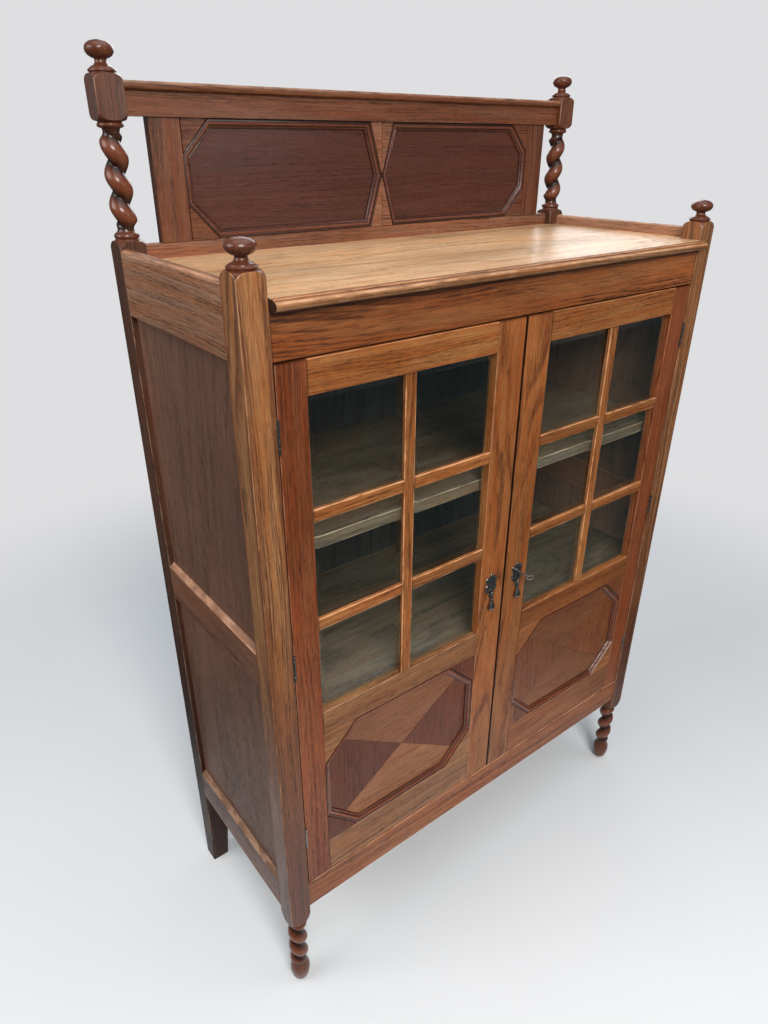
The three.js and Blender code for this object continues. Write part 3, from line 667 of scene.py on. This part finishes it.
def shoulder(square_z, round_z, radius):
    """An arched shoulder, a quarter of an ellipse from the full square to a round. Rows run upwards."""
    count = 24
    rows = []
    for i in range(count + 1):
        share = math.sin(math.pi / 2 * i / count)
        width = math.sqrt(max(0.0, 1 - share * share))
        rows.append((radius + (CORNER - radius) * width, square_z + (round_z - square_z) * share))
    return rows if square_z < round_z else rows[::-1]


def finial_rows(bottom, top):
    """A ring, a narrow neck and a flattened bun, from radii in mm and shares of the height."""
    outline = [
        (18.6, 0), (20.3, 0.04), (20.3, 0.08), (18.9, 0.12), (18.9, 0.12), (17.2, 0.125), (17.2, 0.125),
        (16.4, 0.165), (11.5, 0.225), (9, 0.3), (8.4, 0.37), (9.3, 0.43), (9.3, 0.43), (12.5, 0.45),
        (17.6, 0.53), (20.3, 0.64), (20.6, 0.73), (19, 0.83), (14.5, 0.92), (8, 0.975), (0.05, 1),
    ]
    return [(radius, bottom + (top - bottom) * share) for radius, share in spline(outline, 4)]


def build_front_post(side, sign):
    plain = FOOT_TWIST["plain"]
    toe = [(0.05, 0), (5, 0.2), (11, 4), (17, 15), (20.3, 34), (19.4, 46), (16, 55), (plain, 60)]
    profile = [(radius, max(0.0, z)) for radius, z in spline(toe, 6)]
    profile += twist_rows(FOOT_TWIST) + [(plain, FOOT_TWIST["to"])]
    profile += [(15.5, 195.2), (19, 196.4), (20, 198)] + shoulder(232, 199, 20)
    profile += shoulder(1445, 1462, 20) + finial_rows(1463, 1501)
    axis = (sign * POST_AXIS, POST / 2)
    shell = loft(turned_stick(profile, sign, axis, FOOT_TWIST))
    wood = oak("post", "z", stick=(axis, FOOT_TWIST), polish=0.5, contrast=1.3, pith=60, coarse=1.2)
    mesh_piece(f"front_post_{side}", f"post_front_{side}", "case", [shell], [wood])


def build_back_post(side, sign):
    """Square down to the floor, narrowing near it on the two inner faces."""
    inset_at_floor, taper_height = 6, 90
    profile = [(0.05, 0), (CORNER, 0), (CORNER, taper_height)] + shoulder(1443, 1460, 20)
    profile += [(18, 1463), (0.05, 1463)]
    axis = (sign * POST_AXIS, BACK - POST / 2)
    rings = turned_stick(profile, sign, axis)
    outer = sign * HALF
    for ring in rings:
        for i, (x, y, z) in enumerate(ring):
            share = 1 - inset_at_floor / POST * max(0.0, 1 - z / taper_height)
            ring[i] = (outer + (x - outer) * share, BACK + (y - BACK) * share, z)
    wood = oak("side dark", "z", stick=(axis, BACK_TURNING), polish=0.15, worn=0.9, pith=60)
    mesh_piece(f"back_post_{side}", f"post_back_{side}", "case", [loft(rings)], [wood])


def build_gallery_column(side, sign):
    plain = GALLERY_TWIST["plain"]
    base = [
        (17, 1463), (19, 1464.4), (19.6, 1467), (18.6, 1470), (16, 1472), (16, 1472), (14, 1473.5),
        (plain, 1477),
    ]
    neck = [
        (plain, 1616), (13.5, 1619), (17, 1620.5), (17, 1620.5), (19.4, 1622), (19.4, 1625.5), (17.4, 1627.5),
    ]
    profile = [(0.05, 1463)] + spline(base, 4) + twist_rows(GALLERY_TWIST) + spline(neck, 4)
    profile += shoulder(1643, 1629, 19) + shoulder(1677, 1690.5, 19) + finial_rows(1691.5, 1733)
    axis = (sign * POST_AXIS, BACK - POST / 2)
    shell = loft(turned_stick(profile, sign, axis, GALLERY_TWIST))
    wood = oak("side", "z", stick=(axis, GALLERY_TWIST), worn=1.0, pith=60)
    mesh_piece(f"column_{side}", f"gallery_column_{side}", "case", [shell], [wood])


# ---- The case ----


def build_top_board():
    """The top: moulded along the front between the posts, and out to the side rails behind them."""
    (_, wing_x), (front, back), (bottom, top) = limits("top_board")
    wing_front, wing_back = limits("side_rail_top_right")[1]
    nosing = [
        (-3.2, 0), (-3.2, 0), (-3.9, -1.5), (-5, -1.6), (-6.3, -0.5), (-6.3, -0.5), (-9, -0.5), (-11, -1.6),
        (-11.4, -3.6), (-11.4, -3.6), (-14.5, -3.4), (-17.6, -5.2), (front, -9), (-18, -13), (-14.5, -15.6),
        (-14.5, -15.6), (-11.5, -15.8),
    ]
    edge = spline(shifted(nosing, top) + [(-8, bottom), (-8, bottom)], 4)
    right = [(INNER, wing_front), (wing_x, wing_front), (wing_x, wing_back), (INNER, wing_back)]
    right.append((INNER, back))
    corners = right + [(-x, y) for x, y in right[::-1]]
    count, sides = len(edge), len(corners)
    vertices = [(x, y, z) for x in (-INNER, INNER) for y, z in edge]
    vertices += [(x, y, z) for z in (top, bottom) for x, y in corners]
    upper = list(range(2 * count, 2 * count + sides))
    lower = [i + sides for i in upper]
    faces = [(i, count + i, count + i + 1, i + 1) for i in range(count - 1)]
    faces += [(upper[i], upper[i + 1], lower[i + 1], lower[i]) for i in range(sides - 1)]
    faces.append(tuple([0, count] + upper))
    faces.append(tuple([2 * count - 1, count - 1] + lower[::-1]))
    faces.append(tuple(list(range(count)) + [lower[-1], upper[-1]]))
    faces.append(tuple(list(range(2 * count - 1, count - 1, -1)) + [upper[0], lower[0]]))
    # The top's flat face: golden oak, made lighter and paler as a painted sheen.
    flat = oak("golden sheen", "x", polish=0.75, contrast=0.8, pith=120)
    nose = oak("post", "x", leaning=0.95, pith=70)
    end = oak("end", "y", polish=0.3, pith=20)

    def choose(index, centre, normal):
        if abs(normal.x) > 0.9 and centre.y < wing_front:
            return 2
        return 0 if normal.z > 0.9 and centre.y > wing_front / 2 else 1

    woods = [flat, nose, end]
    shells = [(vertices, faces)]
    mesh_piece("top_board_moulded", "top_board", "case", shells, woods, 25, choose)


def dress_board(node, tone, grain, **figure):
    dress(node, oak(tone, grain, board=limits(node), **figure))


def dress_case():
    dress_board("frieze_rail", "case", "x", contrast=1.2, worn=0.6, pith=35, coarse=1.6)
    dress_board("bottom_rail_front", "case", "x", worn=1.3, pith=55)
    dress_board("back_rail_top", "side light", "x", polish=0.5, worn=0.6)
    dress("back_panel", oak("inside", "z", polish=0.2, worn=0))
    dress_board("floor_board", "shelf", "x", polish=0.2)
    for node in ("shelf_lower", "shelf_upper"):
        dress_board(node, "shelf", "x", polish=0.3, worn=1.3)
    for side in SIDES:
        for height, tone in (("top", "side pale"), ("middle", "side light"), ("bottom", "side")):
            dress(f"side_rail_{height}_{side}", oak(tone, "y", leaning=0.8, contrast=0.9, pith=70))
        for height in ("upper", "lower"):
            wood = oak("panel", "z", polish=0.45, contrast=0.35, worn=0, pith=200)
            dress(f"side_panel_{height}_{side}", wood)


# ---- Sunk mouldings ----

# The moulding from the flush face down to a sunk panel, as [inset, share of the depth].
SUNK_MOULDING = spline([
    (0, 0), (0.6, 0.1), (0.6, 0.1), (2.4, 0.1), (2.4, 0.1), (3, 0.26), (5, 0.2), (7.5, 0.34), (9.4, 0.62),
    (9.4, 0.62), (10.6, 0.66), (10.6, 0.66), (11.4, 0.6), (12.4, 0.68), (13, 1),
], 3)


def sunk_moulding(opening, face, depth, border):
    """A ring of moulding round an opening, from its outer edge at the face down to the panel, as a shell."""
    rim = inset(opening, -border)
    sunk = [(face + depth * share, inset(opening, cut)) for cut, share in SUNK_MOULDING]
    return loft_along("y", [(face + 0.3, rim)] + sunk + [(face + depth, rim)], closed=False)


def octagon(x, z, corner):
    (x0, x1), (z0, z1) = x, z
    return [
        (x0 + corner, z0), (x1 - corner, z0), (x1, z0 + corner), (x1, z1 - corner),
        (x1 - corner, z1), (x0 + corner, z1), (x0, z1 - corner), (x0, z0 + corner),
    ]


# ---- Doors ----

BAR = 21.8  # width of a glazing bar
BAR_ROUNDING = 1.6
PANE_COLUMNS, PANE_ROWS = 2, 3
CUT_CORNER = 70  # size of the cut corners of a door's sunk panel
SURROUND_LAP = 1.5  # how far the edge of a door's sunk moulding lies inside its surround
JOINT = 0.25  # half the width of a glue line between veneers
# Each door's tones: lower rails, two corner blocks, and the fields from the top round to the left. The left
# door's rail tone, the greyer post tone, is partly a painted sheen.
DOOR_WOODS = {
    "left": ("post", "dark veneer", ("light veneer", "dark veneer", "pale veneer", "dark veneer")),
    "right": ("door", "mid veneer", ("light veneer", "mid veneer", "light veneer", "mid veneer")),
}


def build_door(side):
    body = f"door_{side}"
    rail_tone, corner_tone, field_tones = DOOR_WOODS[side]
    dress_door_frame(body, rail_tone)
    build_glazing_bars(body)
    build_door_surround(body, rail_tone, corner_tone)
    build_door_panel(body, field_tones)
    build_panes(body)


def dress_door_frame(body, low_tone):
    # The meeting stile has painted shade along the gap where the doors meet.
    dress_board(f"{body}_stile_meeting", "door", "z", seam=True, pith=75)
    dress_board(f"{body}_stile_hinge", "red", "z", pith=60)
    dress_board(f"{body}_rail_top", "door gold", "x", pith=70)
    dress_board(f"{body}_rail_lock", low_tone, "x", pith=60)
    dress_board(f"{body}_rail_bottom", low_tone, "x", pith=80)


def between_bars(span, count):
    """Cuts a span into equal parts with a glazing bar between them."""
    size = (span[1] - span[0] - (count - 1) * BAR) / count
    starts = [span[0] + i * (size + BAR) for i in range(count)]
    return [(start, start + size) for start in starts]


def build_glazing_bars(body):
    """One upright, and level bars cut to fit between it and the frame."""
    node = f"{body}_glazing_bars"
    x, depth, z = limits(node)
    left, right = between_bars(x, PANE_COLUMNS)
    upright = (left[1], right[0])
    shells = [prism(rectangle(upright, depth, BAR_ROUNDING), "z", z)]
    woods = [oak("door gold", "z", board=(upright, depth, z), worn=1.7, pith=60)]
    rows = between_bars(z, PANE_ROWS)
    for below, above in zip(rows, rows[1:]):
        level = (below[1], above[0])
        for across in (left, right):
            shells.append(prism(rectangle(depth, level, BAR_ROUNDING), "x", across))
            woods.append(oak("door gold", "x", board=(across, depth, level), worn=1.7, pith=60))
    mesh_piece(f"{body}_bars", node, body, shells, woods, 30, by_shell)


def build_door_surround(body, rail_tone, corner_tone):
    """The sunk octagonal moulding, and the four flush blocks outside its cut corners."""
    node = f"{body}_surround"
    x, (face, sunk), z = limits(node)
    inside = [(low + SURROUND_LAP, high - SURROUND_LAP) for low, high in (x, z)]
    shells = [sunk_moulding(octagon(*inside, CUT_CORNER), face, sunk - face, 1.0)]
    woods = [oak("dark veneer", "x", polish=1.0, sunk=(face, sunk), pith=60)]
    size = CUT_CORNER + SURROUND_LAP - 2
    for u, across, v, up, tone, grain in (
        (x[0], 1, z[0], 1, corner_tone, "z"), (x[1], -1, z[0], 1, rail_tone, "x"),
        (x[0], 1, z[1], -1, rail_tone, "x"), (x[1], -1, z[1], -1, corner_tone, "z"),
    ):
        outline = anticlockwise([(u, v), (u + across * size, v), (u, v + up * size)])
        shells.append(prism(inset(outline, JOINT), "y", (face, sunk), 0.4))
        woods.append(oak(tone, grain, contrast=1.2, pith=40))
    mesh_piece(f"{body}_octagon", node, body, shells, woods, 25, by_shell)


def build_door_panel(body, tones):
    """Four veneered fields that meet on the diagonals through the middles of the panel's cut corners."""
    node = f"{body}_panel"
    x, (face, back), z = limits(node)
    veneer = 0.6
    middle = ((x[0] + x[1]) / 2, (z[0] + z[1]) / 2)
    half_x, half_z = (x[1] - x[0]) / 2, (z[1] - z[0]) / 2
    slope = (half_z - CUT_CORNER / 2) / (half_x - CUT_CORNER / 2)
    rise = half_x * slope
    side_field = [(0, 0), (half_x, -rise), (half_x, rise)]
    level_field = [(0, 0), (half_x, rise), (half_x, half_z), (-half_x, half_z), (-half_x, rise)]
    shells = [prism(rectangle(x, z), "y", (face + veneer, back))]
    woods = [oak("end", "z", polish=0.2)]
    turned = ((level_field, 1, 1), (side_field, 1, 1), (level_field, 1, -1), (side_field, -1, 1))
    for (outline, flip_x, flip_z), tone, grain in zip(turned, tones, "xzxz"):
        field = anticlockwise([(middle[0] + flip_x * u, middle[1] + flip_z * v) for u, v in outline])
        shells.append(prism(inset(field, JOINT), "y", (face, face + veneer)))
        woods.append(oak(tone, grain, polish=0.7, contrast=0.6, pith=150))
    mesh_piece(f"{body}_veneered_panel", node, body, shells, woods, 25, by_shell)


def build_panes(body):
    """Six bevelled panes behind the glazing bars."""
    node = f"{body}_glass"
    x, (front, back), z = limits(node)
    tuck, bevel, edge = 4, 11, 1.6  # a pane's reach under the bars, its bevel in sight, its edge's thickness

    def tucked(part, span):
        return max(span[0], part[0] - tuck), min(span[1], part[1] + tuck)

    shells = []
    for column, row in itertools.product(between_bars(x, PANE_COLUMNS), between_bars(z, PANE_ROWS)):
        outline = rectangle(tucked(column, x), tucked(row, z))
        plateau = rectangle(*((low + bevel, high - bevel) for low, high in (column, row)))
        shells.append(loft_along("y", [(back, outline), (back - edge, outline), (front, plateau)]))
    mesh_piece(f"{body}_panes", node, body, shells, [GLASS], 1)


# ---- Hinges, handles and lock ----


def build_hinge(side, sign, height):
    """A butt hinge: a knuckle in five parts on a pin, and the fixed leaf."""
    node = f"hinge_{side}_{height}"
    _, (front, back), (bottom, top) = limits(node)
    radius, pin_radius, leaf = 2.6, 1.3, 1
    axis = (sign * (INNER - 1.25), front + radius)
    shells = []
    count, gap = 5, 0.35
    length = (top - bottom) / count
    for i in range(count):
        low = bottom + i * length + (gap if i else 0)
        shells.append(prism(circle(*axis, radius, 24), "z", (low, bottom + (i + 1) * length), 0.25))
    shells.append(prism(circle(*axis, pin_radius, 16), "z", (bottom + 1, top - 1)))
    leaf_x = sorted((sign * INNER, sign * (INNER - leaf)))
    shells.append(prism(rectangle(leaf_x, (axis[1], back)), "z", (bottom, top), 0.2))
    mesh_piece(f"butt_{side}_{height}", node, "case", shells, [BRONZE])


def handle_outline(x, bottom, top):
    """A waisted plate with ears, narrow at both tips."""
    rise = [
        (0.4, 0), (3.5, 2), (4.6, 6), (4.2, 10), (6.5, 14), (6.5, 14), (12, 17), (15.8, 23), (15.4, 29),
        (11.5, 33), (11.5, 33), (11.8, 38), (15, 43), (15, 48), (11, 51), (6, 51), (6, 51), (4.4, 54),
    ]
    half = spline(shifted(rise, bottom) + [(2.5, top - 1), (0.4, top)], 3)
    mirror = [(-out, z) for out, z in half][::-1]
    return anticlockwise([(x + out, z) for out, z in half + mirror])


def build_handle(side):
    plate, drop = f"handle_plate_{side}", f"handle_drop_{side}"
    _, (_, back), (bottom, top) = limits(plate)
    x = sum(limits(drop)[0]) / 2
    outline = handle_outline(x, bottom, top)
    rim = shifted(((0, 0), (0, -1.2), (0.5, -1.7), (1.3, -1.7), (1.8, -1.4)), back)
    rows = [(y, inset(outline, cut) if cut else outline) for cut, y in rim]
    boss = shifted(((0.05, -1.4), (6.5, -1.4), (6.3, -1.9), (4.6, -2.3), (3.4, -2.5), (0.05, -2.5)), back)
    shells = [loft_along("y", rows), lathe(boss, "y", (x, bottom + 16))]
    stud = shifted(((0.05, -1.4), (1.7, -1.4), (1.6, -1.9), (1, -2.4), (0.05, -2.5)), back)
    for out, z in ((0, bottom + 5), (-11, bottom + 24), (11, bottom + 24), (-11, top - 11), (11, top - 11)):
        shells.append(lathe(stud, "y", (x + out, z), 16))
    if side == "right":
        collar = shifted(((3.6, -1.2), (5.6, -1.2), (5.6, -2.1), (5, -2.5), (3.6, -2.5)), back)
        shells.append(key_collar(collar, x, sum(limits("key")[2]) / 2))
    mesh_piece(f"plate_{side}", plate, f"door_{side}", shells, [BRONZE])
    build_drop(side, drop, x)


def key_collar(section, x, z, sides=32):
    """A ring round the keyhole."""
    rings = []
    for turn in turns(sides):
        rings.append([(x + reach * math.cos(turn), y, z + reach * math.sin(turn)) for reach, y in section])
    return loft(rings, closed=False)


def build_drop(side, node, x):
    """A pear drop on a slender neck, with an eye over its pivot pin."""
    _, (front, back), (bottom, top) = limits(node)
    pear = [
        (0.05, 0), (1.5, 0.1), (2.2, 1.2), (2, 2.4), (4.6, 3.4), (7.3, 6.4), (7.9, 10), (6.7, 15), (4.6, 20),
        (3, 24), (2.5, 25.6), (2.5, 25.6), (3.9, 26.6), (3.9, 28), (2.3, 29), (2.1, 33), (2.3, 37),
        (3.4, 39.5), (3.8, 42.2),
    ]
    profile = spline(shifted(pear, bottom) + [(2.6, top - 0.8), (0.05, top)], 4)
    shell = lathe(profile, "z", (x, (front + back) / 2), 40, flatness=0.65)
    mesh_piece(f"pear_drop_{side}", node, f"drop_{side}", [shell], [BRONZE])


def build_key():
    """An oval bow, a turned shank and a bit."""
    _, (tip, back), (bottom, top) = limits("key")
    x, z = sum(limits("handle_drop_right")[0]) / 2, (bottom + top) / 2
    bow_x, bow_y, wire = 11.4, 7.9, 1.7  # the bow's half width and half length, and its thickness
    centre = tip + bow_y
    bow = []
    for turn in turns(48):
        ring = []
        for roll in turns(12):
            out = wire * (1 + 0.5 * math.sin(turn) ** 2) * math.cos(roll) - wire * 1.5
            u, v = (bow_x + out) * math.cos(turn), (bow_y + out) * math.sin(turn)
            ring.append((x + u, centre + v, z + 1.45 * math.sin(roll)))
        bow.append(ring)
    start = centre + bow_y - wire * 2
    shank = [
        (0.05, 0), (2.4, 0), (2.4, 2.6), (2.4, 2.6), (3.3, 3), (3.3, 5.6), (2.3, 6.2), (2.3, 6.2), (2.9, 7.4),
        (2.3, 8.6), (2.1, 9.4),
    ]
    shank = spline(shifted(shank, start) + [(2.1, back - 0.4), (1.7, back), (0.05, back)], 3)
    bit = prism(rectangle((x + 0.5, x + 7.5), (25.5, 30)), "z", (z - 1, z + 1), 0.2)
    shells = [loft(bow, closed=False), lathe(shank, "y", (x, z), 28), bit]
    mesh_piece("key_turned", "key", "key", shells, [STEEL])


def dress_lock():
    for node in ("lock_case", "lock_bolt", "door_left_bolt"):
        dress(node, STEEL)


# ---- Gallery ----


GALLERY_STILE = 53  # width of the plain stile at each end


def build_gallery_half(side, sign):
    """One half: a sunk six-sided opening with a point in the middle, and the flush blocks round it."""
    node = f"gallery_surround_{side}"
    (start, reach), _, _ = limits("gallery_surround_right")
    _, (face, sunk), (low, high) = limits(node)
    middle, far = (low + high) / 2, reach - GALLERY_STILE
    opening = [
        (start + 2, middle), (29, low + 2), (far - 52, low + 2), (far, low + 57), (far, high - 53),
        (far - 48, high - 2), (29, high - 2),
    ]
    stile, triangle, corner = 1, 2, 3  # places in the list of woods
    blocks = [
        ([(far + 1, low), (reach, low), (reach, high), (far + 1, high)], stile),
        ([(0.3, middle - 2), (0.3, low), (27, low)], triangle),
        ([(0.3, middle + 2), (27, high), (0.3, high)], triangle),
        ([(far, low), (far, low + 55), (far - 51, low)], corner),
        ([(far, high), (far - 47, high), (far, high - 51)], corner),
    ]

    def placed(outline):
        return anticlockwise([(sign * x, z) for x, z in outline])

    shells = [sunk_moulding(placed(opening), face, sunk - face, 0.8)]
    shells += [prism(inset(placed(outline), JOINT), "y", (face, sunk), 0.4) for outline, _ in blocks]
    woods = [
        oak("gallery", "x", polish=0.9, sunk=(face, sunk), pith=60),
        oak("side", "z", polish=0.5, pith=120),
        oak("side light", "x", contrast=0.6, pith=160),
        oak("side", "x", polish=0.5, pith=60),
    ]
    choice = [0] + [wood for _, wood in blocks]

    def choose(index, centre, normal):
        return choice[index]

    mesh_piece(f"gallery_frame_{side}", node, "case", shells, woods, 25, choose)


def build_gallery_rail():
    """The gallery's top rail: a plain fascia, a groove and a rounded nose that stands forward."""
    _, (nose, back), (bottom, top) = limits("gallery_rail")
    face = nose + 7.5
    front = [
        (face - 1, 0), (face - 4.5, -0.4), (nose, -5), (nose + 0.6, -9.4), (face - 2.4, -11.8),
        (face - 2.4, -11.8), (face + 1.6, -13), (face + 1.6, -17), (face + 1.6, -17), (face - 0.8, -17.6),
        (face - 0.8, -20), (face, -20.6), (face, -20.6),
    ]
    outline = [(back, bottom), (back, top)] + spline(shifted(front, top) + [(face, bottom)], 3)
    shell = prism(outline, "x", (-INNER, INNER))
    wood = oak("side", "x", leaning=0.7, pith=80)
    mesh_piece("gallery_rail_moulded", "gallery_rail", "case", [shell], [wood], 25)


def build_gallery():
    for side, sign in SIDES.items():
        build_gallery_half(side, sign)
        build_gallery_column(side, sign)
    build_gallery_rail()
    dress("gallery_panel", oak("gallery", "x", polish=0.75, contrast=0.6, worn=0, pith=200))


# ---- The studio ----

BACKDROP = (0.735, 0.735, 0.75)
DARK_ROOM = (0.045, 0.075, 0.08)  # the room beyond the pale floor, as lights and reflections meet it
FLOOR_REACH = 30 / MM
FLOOR_FADE = (1.2, 2.6)  # metres from the middle at which the pale floor starts to fade, and has ended


def looked_at(g):
    """1 for what is seen directly or through glass, 0 for what lights the bookcase or is reflected in it."""
    path = g.add("LightPath").outputs
    return g.math("LESS_THAN", g.math("ADD", path["Diffuse Depth"], path["Glossy Depth"]), 0.5)


def build_floor():
    """A pale floor that fades into the backdrop's colour, or for reflections into a dark room."""
    corners = rectangle((-FLOOR_REACH, FLOOR_REACH), (-FLOOR_REACH, FLOOR_REACH))
    mesh = bpy.data.meshes.new("floor")
    mesh.from_pydata([to_frame((x, y, 0)) for x, y in corners], [], [(0, 1, 2, 3)])
    floor = bpy.data.objects.new("floor", mesh)
    bpy.context.scene.collection.objects.link(floor)
    material, g = new_material("pale floor")
    place = g.add("TexCoord").outputs["Object"]
    paper = g.math("MULTIPLY_ADD", g.noise(place, 3.0, 3.0), 0.03, 0.81)
    tint = g.mix(1.0, paper, (0.96, 0.98, 1.0, 1), "MULTIPLY")
    diffuse = g.add("BsdfDiffuse", Color=tint).outputs["BSDF"]
    seen = looked_at(g)
    far = g.add("Emission", Color=g.mix(seen, rgba(DARK_ROOM), rgba(BACKDROP))).outputs["Emission"]
    # In lights and reflections the pale floor is 2.2 times smaller.
    distance = g.math("MULTIPLY", g.vector("LENGTH", place), g.math("MULTIPLY_ADD", seen, -1.2, 2.2))
    g.add("OutputMaterial", Surface=g.mix_shader(g.step(distance, *FLOOR_FADE), diffuse, far))
    mesh.materials.append(material)


def build_world():
    """Soft light from all round, and the backdrop's plain colour behind the bookcase."""
    world = bpy.data.worlds.new("studio")
    bpy.context.scene.world = world
    world.use_nodes = True
    g = Graph(world.node_tree)
    light = g.add("Background", Color=(0.72, 0.86, 1.0, 1), Strength=0.22).outputs["Background"]
    seen = g.add("Background", Color=rgba(BACKDROP), Strength=1.0).outputs["Background"]
    g.add("OutputWorld", Surface=g.mix_shader(looked_at(g), light, seen))


def softbox(name, place, target, size, power, color=(1, 1, 1)):
    """A rectangular lamp at a place in metres, turned towards a target."""
    lamp = bpy.data.lights.new(name, "AREA")
    lamp.shape = "RECTANGLE"
    lamp.size, lamp.size_y = size
    lamp.energy = power
    lamp.color = color
    holder = bpy.data.objects.new(name, lamp)
    holder.location = place
    holder.rotation_euler = (Vector(target) - Vector(place)).to_track_quat("-Z", "Y").to_euler()
    bpy.context.scene.collection.objects.link(holder)
    return holder


def build_lights():
    softbox("key", (-1.5, -3.2, 3.4), (0, 0, 0.8), (1.7, 1.4), 160, (1.0, 0.97, 0.93))
    fill = softbox("fill", (2.8, -2.6, 2.4), (0, 0, 0.8), (2.5, 2.0), 15)
    fill.visible_glossy = False
    softbox("side", (-3.2, 0.6, 2.6), (0, 0, 0.9), (2.0, 1.6), 47)
    softbox("overhead", (0, -0.4, 3.8), (0, 0, 0), (3.0, 3.0), 40)
    for name, place, target, size, power in (
        ("glare_on_top", (2.4, 2.9, 3.0), (0.1, 0, 1.3), (3.6, 2.2), 72),
        ("sheen_on_gallery", (1.0, -2.6, 1.8), (-0.2, 0.2, 1.6), (0.9, 0.65), 6),
    ):
        softbox(name, place, target, size, power).visible_diffuse = False


# ---- The camera ----

CAMERA = {
    "place": (-0.9451, -1.0137, 1.6041),
    "turn": math.radians(37.946),  # from straight ahead, towards the right
    "dip": math.radians(27.246),
    "roll": math.radians(0.164),
    "lens": 33.82,
}


def build_camera():
    data = bpy.data.cameras.new("camera")
    data.sensor_fit = "HORIZONTAL"
    data.sensor_width = 36
    data.lens = CAMERA["lens"]
    camera = bpy.data.objects.new("camera", data)
    turn, dip, roll = CAMERA["turn"], CAMERA["dip"], CAMERA["roll"]
    ahead = Vector((math.sin(turn) * math.cos(dip), math.cos(turn) * math.cos(dip), -math.sin(dip)))
    level = Vector((math.cos(turn), -math.sin(turn), 0))
    upright = level.cross(ahead)
    right = level * math.cos(roll) + upright * math.sin(roll)
    up = upright * math.cos(roll) - level * math.sin(roll)
    axes = Matrix((right, up, -ahead)).transposed()
    camera.matrix_world = Matrix.Translation(CAMERA["place"]) @ axes.to_4x4()
    bpy.context.scene.collection.objects.link(camera)
    bpy.context.scene.camera = camera


build_camera()
for side, sign in SIDES.items():
    build_front_post(side, sign)
    build_back_post(side, sign)
    build_door(side)
    build_handle(side)
    for height in ("low", "middle", "high"):
        build_hinge(side, sign, height)
build_top_board()
dress_case()
build_gallery()
build_key()
dress_lock()
build_floor()
build_world()
build_lights()
bpy.context.scene.view_settings.view_transform = "Standard"
